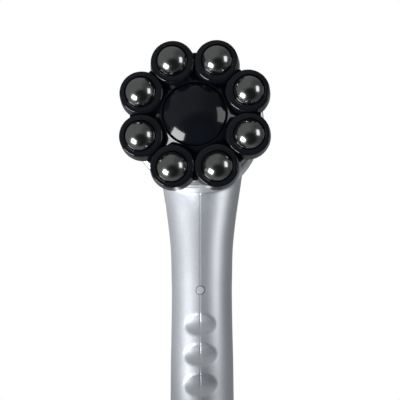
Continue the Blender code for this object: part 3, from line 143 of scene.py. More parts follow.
# %% Spin a profile
def spun(profile, steps, closed=True):
    """A bmesh with the profile of (radius, height) points spun about z."""
    bm = bmesh.new()
    points = [bm.verts.new((radius, 0, height)) for radius, height in profile]
    pairs = list(zip(points, points[1:] + points[:1] if closed else points[1:]))
    edges = [bm.edges.new(pair) for pair in pairs if pair[0].co.x > 1e-7 or pair[1].co.x > 1e-7]
    bmesh.ops.spin(
        bm, geom=points + edges, cent=(0, 0, 0), axis=(0, 0, 1), angle=math.tau, steps=steps, use_merge=True
    )
    bmesh.ops.remove_doubles(bm, verts=bm.verts, dist=1e-6)
    bmesh.ops.recalc_face_normals(bm, faces=bm.faces)
    return bm


# %% [markdown]
# No moulded edge is sharp, and its small radius is what catches the light. A Bevel modifier would round
# every corner alike, so the edges are chosen here: a ring of them is found again by the radius and the
# height of the profile point that made it.


# %% Round edges
def bevelled(bm, edges, width, segments, clamp=False):
    """Rounds the edges."""
    bmesh.ops.bevel(
        bm, geom=edges, offset=width, offset_type="OFFSET", affect="EDGES", segments=segments, profile=0.5,
        clamp_overlap=clamp, material=-1,
    )


def rounded(bm, radius, height, width, segments=4):
    """Rounds the ring that one profile point has made."""
    ring = [
        edge
        for edge in bm.edges
        if all(
            abs(math.hypot(v.co.x, v.co.y) - radius) < 1e-5 and abs(v.co.z - height) < 1e-5
            for v in edge.verts
        )
    ]
    bevelled(bm, ring, width, segments, clamp=True)


# %% [markdown]
# An object could be moved to its place, but here the place goes into the mesh, so that every object stays
# at the origin as the solids do and its pattern stays put. `dressed` keeps real corners crisp, and
# `stands_for` ties a piece to the body it moves with and the solids that it covers.


# %% Put a piece in the scene
def linked(name, data):
    """An object in the scene with this mesh or lamp."""
    obj = bpy.data.objects.new(name, data)
    bpy.context.scene.collection.objects.link(obj)
    return obj


def placed(name, bm, place=Matrix.Identity(4)):
    """The bmesh as an object at the origin, with its place in its mesh."""
    bmesh.ops.transform(bm, matrix=place, verts=bm.verts)
    mesh = bpy.data.meshes.new(name)
    bm.to_mesh(mesh)
    bm.free()
    return linked(name, mesh)


def dressed(obj, finish, sharp=35):
    """Smooth but for edges sharper than that many degrees, with its finish."""
    obj.data.materials.clear()
    obj.data.materials.append(finish)
    obj.data.shade_smooth()
    obj.data.set_sharp_from_angle(angle=math.radians(sharp))
    print("made:", obj.name, len(obj.data.polygons), "faces")
    return obj


def stands_for(piece, body, slot, *nodes):
    """The piece rides on the body and takes the place of the solids."""
    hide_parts(*nodes)
    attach(piece, body)


# %% [markdown]
# ## Tools for finishes
#
# A finish is easier to read as a sum than as a web of nodes. `Number` wraps a socket that carries a
# number, and its operators add the Math nodes.


# %% Sums on sockets
class Number:
    """A number from a node, which takes part in Python sums."""

    def __init__(self, nodes, socket):
        self.nodes, self.socket = nodes, socket

    def sum(self, operation, first, second):
        return self.nodes.node("Math", {"operation": operation}, {0: first, 1: second})

    def __add__(self, other):
        return self.sum("ADD", self, other)

    def __sub__(self, other):
        return self.sum("SUBTRACT", self, other)

    def __rsub__(self, other):
        return self.sum("SUBTRACT", other, self)

    def __mul__(self, other):
        return self.sum("MULTIPLY", self, other)

    __radd__, __rmul__ = __add__, __mul__


# %% [markdown]
# Every other node comes from one method, `node`: its type, then its settings, then the values or links of
# its sockets. Colours are mixed by `between`, because a Math node would turn them grey.


# %% A tree of nodes
class Nodes:
    """A node tree that is filled through one method."""

    def __init__(self, tree, coordinates="Object"):
        self.tree = tree
        self.place = self.node("TexCoord", out=coordinates)

    def node(self, kind, settings=None, sockets=None, out=0):
        made = self.tree.nodes.new("ShaderNode" + kind)
        for name, value in (settings or {}).items():
            setattr(made, name, value)
        for name, value in (sockets or {}).items():
            self.join(value, made.inputs[name])
        return made if out is None else Number(self, made.outputs[out])

    def join(self, value, socket):
        """Links the socket, or sets its value."""
        if isinstance(value, Number):
            self.tree.links.new(value.socket, socket)
        else:
            socket.default_value = (*value, 1) if socket.type == "RGBA" else value

    def between(self, share, first, second):
        """A colour between two colours."""
        return self.node("Mix", {"data_type": "RGBA"}, {0: share, 6: first, 7: second}, 2)

    def fade(self, value, low, high):
        """0 below low, 1 above high, and smooth between them."""
        limits = {"Value": value, "From Min": low, "From Max": high}
        return self.node("MapRange", {"interpolation_type": "SMOOTHSTEP"}, limits)


# %% [markdown]
# A finish reads Object coordinates, so its pattern stays on a piece that moves. What is the same all over
# is set on the shader's own sockets when the finish is made. What varies goes through `surface`.


# %% A finish
class Finish(Nodes):
    """One procedural material."""

    def __init__(self, name, **constants):
        self.material = bpy.data.materials.new(name)
        self.material.use_nodes = True
        super().__init__(self.material.node_tree)
        self.shader = self.tree.nodes["Principled BSDF"]
        for constant, value in constants.items():
            socket = constant.replace("_", " ").title().replace("Ior", "IOR")
            self.shader.inputs[socket].default_value = value

    def noise(self, scale, detail=3.0, roughness=0.5, stretch=None):
        """A cloudy pattern, this many clouds to a metre."""
        spot = self.place
        if stretch:
            spot = self.node("Mapping", {}, {"Vector": self.place, "Scale": stretch})
        texture = {"Vector": spot, "Scale": scale, "Detail": detail, "Roughness": roughness}
        return self.node("TexNoise", {}, texture, "Fac")

    def cells(self, scale, out="Distance"):
        """A pattern of cells, this many to a metre."""
        return self.node("TexVoronoi", {}, {"Vector": self.place, "Scale": scale}, out)

    def surface(self, colour, roughness, height=None, depth=0.0, strength=0.0):
        """Joins what varies to the shader."""
        self.join(colour, self.shader.inputs["Base Color"])
        self.join(roughness, self.shader.inputs["Roughness"])
        if height is not None:
            bump = self.node("Bump", {}, {"Height": height, "Distance": depth, "Strength": strength})
            self.join(bump, self.shader.inputs["Normal"])
        print("finish:", self.material.name)
        return self.material


# %% [markdown]
# ## Silver paint
#
# The handle and the drum are sprayed plastic: a base coat with fine aluminium flake. One grey metal would
# look like cast iron, so cells 0.4 mm across vary its brightness and roughness flake by flake, and a slow
# noise gives the slight orange peel of sprayed paint. The flake makes it nearly all metallic, and its
# high roughness spreads the highlight.

# %% Silver paint
paint = Finish("silver_paint", metallic=0.88, coat_weight=0.05, coat_roughness=0.3)
flake = paint.node("SeparateColor", {}, {0: paint.cells(2600, "Color")}, 0)
cloud = paint.noise(35, 2.0)
peel = paint.noise(420, 2.0)
silver_paint = paint.surface(
    colour=paint.between(flake * 0.6 + cloud * 0.4, (0.645, 0.67, 0.715), (0.80, 0.825, 0.875)),
    roughness=0.41 + flake * 0.06 + cloud * 0.05,
    height=peel + flake * 0.15, depth=0.00002, strength=0.5,
)

# %% [markdown]
# ## Black gloss
#
# The flower and its centre are moulded in a polished blue-black plastic. Flat black would lose its form,
# so under the shine the surface is very slightly uneven, and handling has left a haze of hair-thin
# scratches and a few specks of dust.

# %% Black gloss
gloss = Finish("black_gloss", metallic=0.0, ior=1.39)
haze = gloss.noise(60, 4.0, 0.6)
hairs = gloss.fade(gloss.noise(500, 2.0, 0.5, (1.0, 1.0, 0.06)), 0.62, 0.75)
specks = gloss.fade(gloss.cells(450), 0.10, 0.04)
black_gloss = gloss.surface(
    colour=gloss.between(specks * 0.25 + haze * 0.2, (0.0034, 0.0042, 0.0070), (0.014, 0.016, 0.022)),
    roughness=0.07 + haze * 0.05 + hairs * 0.05,
    height=haze + hairs * 0.1, depth=0.00002, strength=0.35,
)

# %% [markdown]
# ## Dark plated balls
#
# The balls are plated in a dark grey metal and polished. Only the reflection shows, so the colour is the
# plating's own grey. Rubbing on skin has made its polish uneven and left a few fine pits.

# %% Dark plating
plating = Finish("dark_plating", metallic=1.0)
rub = plating.noise(160, 3.0, 0.6)
pits = plating.fade(plating.cells(900), 0.12, 0.05)
dark_plating = plating.surface(
    colour=plating.between(rub * 0.8 + pits * 0.2, (0.225, 0.233, 0.230), (0.285, 0.292, 0.288)),
    roughness=0.16 + rub * 0.06,
    height=rub - pits * 0.4, depth=0.00001, strength=0.3,
)

# %% [markdown]
# ## Finishes of the small pieces
#
# The pieces inside are seen only when the part is opened, but each gets its own material. Turned metal
# keeps the marks of its lathe, a noise stretched along them, sintered bronze is full of fine pores, and a
# magnet is a dull ceramic.

# %% Metals
steel = Finish("turned_steel", metallic=1.0)
lathe = steel.noise(900, 2.0, 0.5, (1.0, 0.05, 1.0))
turned_steel = steel.surface(
    colour=steel.between(steel.noise(90), (0.46, 0.47, 0.49), (0.62, 0.63, 0.65)),
    roughness=0.24 + lathe * 0.16, height=lathe, depth=0.00002, strength=0.4,
)
sinter = Finish("sintered_bronze", metallic=1.0)
pores = sinter.fade(sinter.cells(2200), 0.30, 0.10)
stain = sinter.noise(300, 3.0) * 0.7 + pores * 0.3
sintered_bronze = sinter.surface(
    colour=sinter.between(stain, (0.52, 0.33, 0.15), (0.30, 0.19, 0.09)),
    roughness=0.35 + pores * 0.25, height=1 - pores, depth=0.00003, strength=0.6,
)
ferrite = Finish("magnet", metallic=0.2)
grit = ferrite.noise(1200, 4.0)
magnet = ferrite.surface(
    colour=ferrite.between(grit, (0.06, 0.06, 0.065), (0.12, 0.12, 0.125)),
    roughness=0.55 + grit * 0.2, height=grit, depth=0.00005, strength=0.5,
)

# %% [markdown]
# The gears are milky nylon that lets a little light in, and the dark moulding has the fine sparked grain
# of its tool. Rubber is the same grain, duller. Felt is a mat of fibres, so its noise is stretched and it
# has a sheen.

# %% Plastics and rubber
nylon = Finish("gear_nylon", metallic=0.0, subsurface_weight=0.1)
flow = nylon.noise(140, 3.0, 0.5, (1.0, 1.0, 0.3))
gear_nylon = nylon.surface(
    colour=nylon.between(flow, (0.78, 0.76, 0.70), (0.86, 0.85, 0.80)),
    roughness=0.38 + flow * 0.15, height=flow, depth=0.00003, strength=0.4,
)
moulded = Finish("dark_moulding", metallic=0.0)
spark = moulded.noise(1800, 3.0)
dark_moulding = moulded.surface(
    colour=moulded.between(spark, (0.028, 0.028, 0.032), (0.055, 0.055, 0.06)),
    roughness=0.42 + spark * 0.2, height=spark, depth=0.00004, strength=0.6,
)
pad = Finish("foot_rubber", metallic=0.0)
matt = pad.noise(1400, 4.0)
foot_rubber = pad.surface(
    colour=pad.between(matt, (0.022, 0.022, 0.023), (0.045, 0.045, 0.046)),
    roughness=0.78 + matt * 0.15, height=matt, depth=0.00006, strength=0.7,
)
wool = Finish("felt", metallic=0.0, sheen_weight=0.4)
fibre = wool.noise(1500, 5.0, 0.7, (1.0, 1.0, 0.25))
felt = wool.surface(
    colour=wool.between(fibre, (0.05, 0.05, 0.05), (0.12, 0.12, 0.12)),
    roughness=0.9 + fibre * 0.08, height=fibre, depth=0.00015, strength=0.9,
)

# %% [markdown]
# A circuit board is glass weave under a green mask, with tracks that a brick pattern suggests. The cells
# wear a creased shrink wrap. The leads' two colours share one function.

# %% Electrical pieces
mask = Finish("solder_mask", metallic=0.0, coat_weight=0.3)
bare = mask.node("TexBrick", {}, {"Vector": mask.place, "Scale": 260.0, "Mortar Size": 0.018}, "Fac")
weave = mask.noise(900, 2.0)
solder_mask = mask.surface(
    colour=mask.between(bare * 0.6 + weave * 0.15, (0.012, 0.13, 0.05), (0.05, 0.30, 0.12)),
    roughness=0.35 + weave * 0.1, height=bare, depth=0.00003, strength=0.5,
)
wrap = Finish("cell_wrap", metallic=0.2, coat_weight=0.4)
crease = wrap.noise(220, 3.0, 0.6, (1.0, 1.0, 0.15))
cell_wrap = wrap.surface(
    colour=wrap.between(crease, (0.03, 0.13, 0.36), (0.07, 0.22, 0.46)),
    roughness=0.28 + crease * 0.12, height=crease, depth=0.00006, strength=0.5,
)


def lead_finish(name, dark, bright):
    """Ribbed insulation between two shades of one colour."""
    skin = Finish(name, metallic=0.0)
    rib = skin.noise(700, 2.0)
    return skin.surface(
        colour=skin.between(rib, dark, bright),
        roughness=0.42 + rib * 0.15, height=rib, depth=0.00003, strength=0.4,
    )


lead_red = lead_finish("lead_red", (0.38, 0.02, 0.02), (0.55, 0.04, 0.035))
lead_black = lead_finish("lead_black", (0.014, 0.014, 0.015), (0.035, 0.035, 0.036))

# %% [markdown]
# The indicator is a small dome of frosted clear plastic, silvered inside by its lamp's reflector, so it
# looks almost like the paint round it. Real glass over a modelled reflector would only add noise at this
# size, so a half metallic plastic under a clear coat stands for both.

# %% Indicator lens
frosted = Finish("lens", metallic=0.35, ior=1.49, coat_weight=0.6, coat_roughness=0.08)
frost = frosted.noise(1500, 3.0)
lens_finish = frosted.surface(
    colour=frosted.between(frost, (0.60, 0.61, 0.66), (0.72, 0.73, 0.77)),
    roughness=0.2 + frost * 0.12, height=frost, depth=0.00002, strength=0.3,
)

# %% [markdown]
# ## Balls
#
# Each ball is a plated metal sphere. An ico sphere has more even faces, but a sphere of rings can have its
# poles on the axis that the ball rolls about, and it is fine enough for a round outline.

# %% Balls
for index, angle in enumerate(cup_angles):
    bm = bmesh.new()
    bmesh.ops.create_uvsphere(bm, u_segments=64, v_segments=36, radius=BALL_RADIUS)
    centre = Matrix.Translation((BALL_RING * math.cos(angle), BALL_RING * math.sin(angle), BALL_FWD))
    along = Matrix.Rotation(angle, 4, "Z") @ Matrix.Rotation(math.pi / 2, 4, "Y")
    ball = dressed(placed(f"polished_ball_{index + 1}", bm, head_frame @ centre @ along), dark_plating)
    stands_for(ball, f"ball_{index + 1}", "dark_plating", f"ball_{index + 1}")

# %% [markdown]
# ## The flower of cups
#
# A cup is a short tube with a rounded rim. A thin collar stands round the ball and keeps it in. Outside,
# the wall widens backwards and leans towards the flower's centre, while the bore stays round the ball.
# A lathe alone can't make that, so the cup is spun first, and its outer points are moved after.

# %% One cup
COLLAR_RADIUS = 0.0129
COLLAR_RISE = 0.0003
RIM_RADIUS = 0.0166
BODY_RADIUS = 0.0182
RIM_LEAN = 0.0007
BODY_LEAN = 0.0019
LEAN_START = 0.0132
LEAN_SPREAD = 0.0022
lip_bore = math.sqrt(SOCKET_RADIUS**2 - (LIP_FWD - BALL_FWD) ** 2)
rim_fwd = LIP_FWD - COLLAR_RISE


def leaned(bm):
    """Moves the outer body of a cup towards the flower's centre; the bore stays round the ball."""
    for vert in bm.verts:
        share = (math.hypot(vert.co.x, vert.co.y) - LEAN_START) / LEAN_SPREAD
        depth = (rim_fwd - vert.co.z) / (rim_fwd - SPLIT_FWD)
        lean = RIM_LEAN + (BODY_LEAN - RIM_LEAN) * min(max(depth, 0.0), 1.0)
        vert.co.x -= lean * min(max(share, 0.0), 1.0)
    return bm


def cup():
    """One cup about z, its x axis pointing outwards."""
    bore = []
    for step in range(9):
        rise = (LIP_FWD - BALL_FWD) * step / 8
        bore.append((math.sqrt(SOCKET_RADIUS**2 - rise**2), BALL_FWD + rise))
    wall = [(SOCKET_RADIUS, SPLIT_FWD), (BODY_RADIUS, SPLIT_FWD), (RIM_RADIUS, rim_fwd)]
    collar = [(COLLAR_RADIUS, rim_fwd), (COLLAR_RADIUS, LIP_FWD)]
    bm = spun([*wall, *collar, *reversed(bore)], 96)
    rounded(bm, RIM_RADIUS, rim_fwd, 0.0013, 6)
    rounded(bm, lip_bore, LIP_FWD, 0.0002, 3)
    rounded(bm, COLLAR_RADIUS, LIP_FWD, 0.00025, 3)
    return leaned(bm)


print("bore at the lip:", round(2000 * lip_bore, 1), "mm, ball:", round(2000 * BALL_RADIUS, 1), "mm")

# %% [markdown]
# The eight cups and the web between them are one moulding. Their rims meet in sharp grooves, so the cups
# are simply added to the web's mesh and overlap it. The web falls away in a curve from the groove round
# the centre, which is why its small triangles catch light from the sides.


# %% The web and the cups in one piece
def add_copies(target, one, places=(Matrix.Identity(4),)):
    """Adds a copy of one bmesh to another at each place."""
    whole = bpy.data.meshes.new("copy")
    one.to_mesh(whole)
    one.free()
    for place in places:
        moved = whole.copy()
        moved.transform(place)
        target.from_mesh(moved)
        bpy.data.meshes.remove(moved)
    bpy.data.meshes.remove(whole)


GROOVE = 0.0004
WEB_TOP = WEB_FWD + 0.0016
WEB_FALL, WEB_CURL = 0.0194, 0.0114
HUB_BORE, HUB_TOP = 0.0075, SPLIT_FWD + 0.0025
cup_places = [Matrix.Rotation(a, 4, "Z") @ Matrix.Translation((BALL_RING, 0, 0)) for a in cup_angles]
web_inner = DOME_RADIUS + GROOVE
web_slope = []
for step in range(13):
    out = step / 12
    radius = web_inner + (WEB_RADIUS - web_inner) * out
    web_slope.append((radius, WEB_TOP - WEB_FALL * out + WEB_CURL * out**2))
web_back = [(HUB_BORE, SPLIT_FWD), (WEB_RADIUS, SPLIT_FWD)]
web = spun([*web_back, *reversed(web_slope), (web_inner, HUB_TOP), (HUB_BORE, HUB_TOP)], 128)
rounded(web, web_inner, WEB_TOP, 0.0005)
add_copies(web, cup(), cup_places)
flower = dressed(placed("cup_flower", web, head_frame), black_gloss)
stands_for(flower, "carrier", "black_gloss", "carrier_front")

# %% [markdown]
# ## The back of the flower
#
# A shallow bowl closes the flower behind, with a skirt that hides the gap to the drum. The round backs of
# the cups bulge out of it. They are quarter circles spun about each ball's axis, with a pocket for the
# ball inside, and lean as the cups do, so the two halves meet.

# %% Back of the flower
SKIRT_BORE, SKIRT_REAR = 0.0465, 0.068
BOWL_FRONT, BOWL_REAR = 0.0723, 0.0703
BOSS_RADIUS, SPINDLE_BORE = 0.009, 0.0043
ROOT_WALL = 0.0029
back_face = SPLIT_FWD - GAP
root_fwd = BALL_FWD - SOCKET_RADIUS - ROOT_WALL
pocket_lean = math.acos((BALL_FWD - back_face) / SOCKET_RADIUS)
skirt_profile = [
    (SKIRT_BORE, SKIRT_REAR), (WEB_RADIUS, SKIRT_REAR), (WEB_RADIUS, back_face), (SKIRT_BORE, back_face),
    (SKIRT_BORE, BOWL_FRONT), (BOSS_RADIUS, BOWL_FRONT), (BOSS_RADIUS, back_face),
    (SPINDLE_BORE, back_face), (SPINDLE_BORE, BOWL_REAR), (SKIRT_BORE, BOWL_REAR),
]
skirt = spun(skirt_profile, 128)
rounded(skirt, WEB_RADIUS, SKIRT_REAR, 0.0006)
root_profile = [(0.0, root_fwd)]
for step in range(1, 13):
    lean = math.pi / 2 * step / 12
    root_profile.append((BODY_RADIUS * math.sin(lean), back_face - (back_face - root_fwd) * math.cos(lean)))
root_profile.append((math.sqrt(SOCKET_RADIUS**2 - (BALL_FWD - back_face) ** 2), back_face))
for step in range(1, 10):
    lean = pocket_lean * (1 - step / 9)
    root_profile.append((SOCKET_RADIUS * math.sin(lean), BALL_FWD - SOCKET_RADIUS * math.cos(lean)))
add_copies(skirt, leaned(spun(root_profile, 96, closed=False)), cup_places)
back = dressed(placed("flower_back", skirt, head_frame), black_gloss)
stands_for(back, "carrier", "black_gloss", "carrier_back")

# %% [markdown]
# ## The centre cap
#
# A shallow dome, part of a sphere 38 mm in radius, drops into the ring in the middle of the flower. Cut
# from a whole sphere it would have no wall, so its outer and inner arcs are spun together.

# %% Centre cap
CAP_WALL = 0.002
CAP_REAR = SPLIT_FWD + 0.0028
cap_rim = DOME_RADIUS - GAP
cap_low = WEB_FWD - math.sqrt(DOME_CURVE**2 - cap_rim**2)
cap_lean = math.asin(cap_rim / DOME_CURVE)
inner_curve = DOME_CURVE - CAP_WALL
inner_lean = math.asin((cap_rim - CAP_WALL) / inner_curve)
cap_profile = [(cap_rim - CAP_WALL, CAP_REAR), (cap_rim, CAP_REAR)]
for step in range(25):
    lean = cap_lean * (1 - step / 24)
    cap_profile.append((DOME_CURVE * math.sin(lean), cap_low + DOME_CURVE * math.cos(lean)))
for step in range(13):
    lean = inner_lean * step / 12
    cap_profile.append((inner_curve * math.sin(lean), cap_low + inner_curve * math.cos(lean)))
dome = spun(cap_profile, 128)
rounded(dome, cap_rim, WEB_FWD, 0.0004, 3)
cap = dressed(placed("centre_cap", dome, head_frame), black_gloss)
stands_for(cap, "carrier", "black_gloss", "centre_dome")

# %% [markdown]
# ## The drum
#
# The drum is a closed tub that tapers towards the handle and has a soft front edge. The spigot behind it,
# with a lip at its end, snaps into the shells. All of it is round, so one profile gives wall and spigot.

# %% Drum
TUB_WALL = 0.0022
BUSH_BORE = 0.0073
SPIGOT_BORE, SPIGOT_NECK, SPIGOT_LIP = 0.0415, 0.0435, 0.045
SPIGOT_REAR = DRUM_REAR_FWD - 0.0062
LIP_FRONT = DRUM_REAR_FWD - 0.0042
spigot = [(SPIGOT_BORE, SPIGOT_REAR), (SPIGOT_LIP, SPIGOT_REAR), (SPIGOT_LIP, LIP_FRONT)]
spigot += [(SPIGOT_NECK, LIP_FRONT), (SPIGOT_NECK, DRUM_REAR_FWD)]
tub = [(DRUM_REAR_RADIUS, DRUM_REAR_FWD), (DRUM_FRONT_RADIUS, DRUM_FRONT_FWD)]
tub += [(BUSH_BORE, DRUM_FRONT_FWD), (BUSH_BORE, DRUM_FRONT_FWD - TUB_WALL)]
tub_inside = [
    (DRUM_FRONT_RADIUS - 0.0036, DRUM_FRONT_FWD - TUB_WALL),
    (DRUM_FRONT_RADIUS - 0.0026, DRUM_FRONT_FWD - 0.0036),
    (DRUM_REAR_RADIUS - TUB_WALL, DRUM_REAR_FWD + TUB_WALL),
    (SPIGOT_BORE, DRUM_REAR_FWD + TUB_WALL),
]
drum = spun(spigot + tub + tub_inside, 160)
rounded(drum, DRUM_FRONT_RADIUS, DRUM_FRONT_FWD, 0.0032, 8)
rounded(drum, DRUM_REAR_RADIUS, DRUM_REAR_FWD, 0.0004, 3)
drum_shell = dressed(placed("drum_shell", drum, head_frame), silver_paint)
stands_for(drum_shell, "handle", "silver_paint", "drum_housing")

# %% [markdown]
# ## The handle's outline
#
# The handle is an oval whose width, front and back change with height: a toe at the foot, a waist, and a
# flare into the pod behind the drum. A table holds its stations as shares of the grip's sizes, which is
# easier to correct against a photograph than a finished surface, and a smooth curve runs through them.

# %% Stations of the handle
TOE_TOP = 0.036
TOE_SHARES = ((0.0, 1.0), (0.12, 1.0), (0.30, 0.80), (0.50, 0.42), (0.75, 0.12))
STATION_SHARES = (
    (0.150, 1.035, 1.020, 1.000),
    (0.292, 1.026, 1.010, 1.000),
    (0.409, 1.006, 1.004, 1.000),
    (0.519, 0.996, 1.000, 1.000),
    (0.559, 1.006, 1.000, 1.000),
    (0.652, 1.036, 0.996, 1.000),
    (0.731, 1.123, 0.998, 1.000),
    (0.780, 1.195, 1.006, 1.010),
    (0.830, 1.278, 1.012, 1.020),
    (0.867, 1.339, 1.000, 1.020),
    (0.915, 1.400, 0.950, 1.000),
    (1.000, 1.400, 0.900, 0.920),
)


def stations():
    """Rows of (height, half width, front depth, back depth) from the base up."""
    rows = []
    _, lowest_width, lowest_front, _ = STATION_SHARES[0]
    width_above, front_above = GRIP_RADIUS * lowest_width, GRIP_FRONT * lowest_front
    for rise, flare in TOE_SHARES:
        rows.append((
            SHELL_BASE + (TOE_TOP - SHELL_BASE) * rise,
            width_above + (FOOT_WIDTH - width_above) * flare,
            front_above + (FOOT_FRONT - front_above) * flare,
            GRIP_BACK,
        ))
    for rise, width, front, back in STATION_SHARES:
        rows.append((HEAD_HEIGHT * rise, GRIP_RADIUS * width, GRIP_FRONT * front, GRIP_BACK * back))
    return rows


def smooth_between(rows, height):
    """One row at any height, on a smooth curve through the stations."""
    index = max(1, min(len(rows) - 1, sum(row[0] < height for row in rows)))
    low, high = rows[index - 1], rows[index]
    before, after = rows[max(index - 2, 0)], rows[min(index + 1, len(rows) - 1)]
    span = high[0] - low[0]
    t = (height - low[0]) / span
    found = [height]
    for a, b, c, d in zip(before[1:], low[1:], high[1:], after[1:]):
        rise_low = (c - a) / (high[0] - before[0]) * span
        rise_high = (d - b) / (after[0] - low[0]) * span
        found.append(
            b * (2 * t**3 - 3 * t**2 + 1) + rise_low * (t**3 - 2 * t**2 + t)
            + c * (3 * t**2 - 2 * t**3) + rise_high * (t**3 - t**2)
        )
    return found


print("stations:", len(stations()))

# %% [markdown]
# The ovals are circles scaled at many heights and joined with `bridge_loops`. Each half is moulded with a
# faint ridge along the seam, which the photograph shows as a step in brightness, so the oval is centred a
# little across the seam. Only the right half of this form is kept.

# %% The grip as bridged ovals
SEAM_SHIFT = 0.0022
GRIP_STEPS = 150


def grip_form():
    """The grip as a closed tube of ovals."""
    rows = stations()
    bm = bmesh.new()
    loops = []
    for step in range(-2, GRIP_STEPS + 1):
        height = SHELL_BASE + (rows[-1][0] - SHELL_BASE) * step / GRIP_STEPS
        _, width, front, back = smooth_between(rows, max(height, SHELL_BASE))
        verts = bmesh.ops.create_circle(bm, segments=96, radius=1)["verts"]
        for vert in verts:
            depth = back if vert.co.y > 0 else front
            vert.co = (vert.co.x * (width + SEAM_SHIFT) - SEAM_SHIFT, vert.co.y * depth, height)
        loops.append(list({edge for vert in verts for edge in vert.link_edges}))
    for low, high in zip(loops, loops[1:]):
        bmesh.ops.bridge_loops(bm, edges=low + high)
    bmesh.ops.holes_fill(bm, edges=[e for e in bm.edges if e.is_boundary])
    bmesh.ops.recalc_face_normals(bm, faces=bm.faces)
    return bm


# %% [markdown]
# The pod is the round hump that closes the drum behind. A half sphere would look too pointed, so its
# profile is a fuller curve, from the axis out to the drum's rear edge.

# %% The pod behind the drum
POD_FWD = DRUM_REAR_FWD - GAP
POD_END = POD_FWD + 0.003
POD_REAR, POD_CROWN, POD_WAIST = -0.0272, 0.044, 0.0473
pod_radius = DRUM_REAR_RADIUS - GAP
pod_profile = [(0.0, POD_REAR)]
for step in range(1, 19):
    lean = math.pi / 2 * (1 - step / 18)
    pod_profile.append((POD_CROWN * math.cos(lean) ** 0.75, POD_REAR * math.sin(lean) ** (4 / 3)))
pod_profile += [(POD_WAIST, POD_FWD / 2), (pod_radius, POD_FWD), (pod_radius, POD_END), (0.0, POD_END)]
print("pod:", len(pod_profile), "profile points")

# %% [markdown]
# ## Tools that press and cut
#
# Holes and hollows could be drawn into the mesh, but a workshop would press or drill them, and so does a
# Boolean modifier with a block or a round bar as its tool. `settled` applies the modifiers.

# %% Helpers that press and cut
across = Matrix.Rotation(math.pi / 2, 4, "Y")
along_y = Matrix.Rotation(math.pi / 2, 4, "X")


def block(low, high):
    """A box between two corners."""
    bm = bmesh.new()
    size = [top - base for base, top in zip(low, high)]
    middle = [(top + base) / 2 for base, top in zip(low, high)]
    bmesh.ops.create_cube(bm, size=1, matrix=Matrix.Translation(middle) @ Matrix.Diagonal((*size, 1)))
    return bm


def roller(radius, start, end, place, end_radius=None, steps=64):
    """A round bar along local z, from start to end."""
    bm = bmesh.new()
    bmesh.ops.create_cone(
        bm, cap_ends=True, segments=steps, radius1=radius, radius2=end_radius or radius,
        depth=end - start, matrix=Matrix.Translation((0, 0, (start + end) / 2)),
    )
    return placed("roller", bm, place)


def carve(obj, tools, operation="DIFFERENCE"):
    """Cuts the object with each tool, unless the operation says otherwise."""
    for tool in tools:
        step = obj.modifiers.new(operation.title(), "BOOLEAN")
        step.operation, step.object, step.solver = operation, tool, "MANIFOLD"


def settled(obj):
    """Applies the modifiers of the object."""
    graph = bpy.context.evaluated_depsgraph_get()
    mesh = bpy.data.meshes.new_from_object(obj.evaluated_get(graph))
    obj.modifiers.clear()
    obj.data = mesh


def clear(*objects):
    """Removes tools that have done their work."""
    for obj in objects:
        bpy.data.objects.remove(obj)


# %% [markdown]
# ## The finger hollows
#
# Four shallow hollows down the front give the fingers a hold. A ball pressed in would leave a round dish,
# but these are wide and low. A ring round the grip presses them instead, so that the floor of each hollow
# still follows the curve of the grip.

# %% A ring that presses one hollow
SCOOP_DEPTH = 0.0026
SCOOP_HALF_HEIGHT = 0.0087
SCOOP_FLOOR_CURVE = 0.055
scoop_radius = (SCOOP_HALF_HEIGHT**2 + SCOOP_DEPTH**2) / (2 * SCOOP_DEPTH)


def scoop_ring(height):
    """A ring whose inner side presses the hollow at that height."""
    bm = bmesh.new()
    bmesh.ops.create_circle(bm, segments=64, radius=scoop_radius)
    reach = SCOOP_FLOOR_CURVE + scoop_radius
    upright = Matrix.Translation((reach, 0, 0)) @ along_y
    bmesh.ops.transform(bm, matrix=upright, verts=bm.verts)
    bmesh.ops.spin(
        bm, geom=bm.verts[:] + bm.edges[:], cent=(0, 0, 0), axis=(0, 0, 1), angle=math.tau, steps=160,
        use_merge=True,
    )
    bmesh.ops.remove_doubles(bm, verts=bm.verts, dist=1e-6)
    bmesh.ops.recalc_face_normals(bm, faces=bm.faces)
    centre_y = -(GRIP_FRONT - SCOOP_DEPTH) + SCOOP_FLOOR_CURVE
    return placed("ring", bm, Matrix.Translation((0, centre_y, height)))


print("pressing ring:", round(2000 * scoop_radius, 1), "mm thick")

# %% [markdown]
# ## The skin of the handle
#
# Grip and pod flow into each other on the real handle. A Boolean alone would leave a hard crease, so a
# voxel remesh melts them into one skin, and smoothing rounds every edge as a mould does.

# %% Press the hollows and melt the skin
SCOOP_TOP = 0.1084
SCOOP_PITCH = 0.0238
VOXEL = 0.0009
form = placed("form", grip_form())
pod = placed("pod", spun(pod_profile, 128), head_frame)
rings = [scoop_ring(SCOOP_TOP - SCOOP_PITCH * row) for row in range(4)]
carve(form, rings)
carve(form, [pod], "UNION")
remesh = form.modifiers.new("One skin", "REMESH")
remesh.mode, remesh.voxel_size, remesh.use_smooth_shade = "VOXEL", VOXEL, True
ease = form.modifiers.new("Soft edges", "SMOOTH")
ease.factor, ease.iterations = 0.5, 9
settled(form)
clear(pod, *rings)
print("skin:", len(form.data.polygons), "faces")

# %% [markdown]
# ## Two moulded halves
#
# The handle is two shells that meet along the middle of its front and back. The seam shows as a thin
# bright line, because each half has a rounded lip. A bevel can't follow a remeshed edge, so the skin is
# cut with a few planes beside the seam, and the points there sink by a sixth of a millimetre.

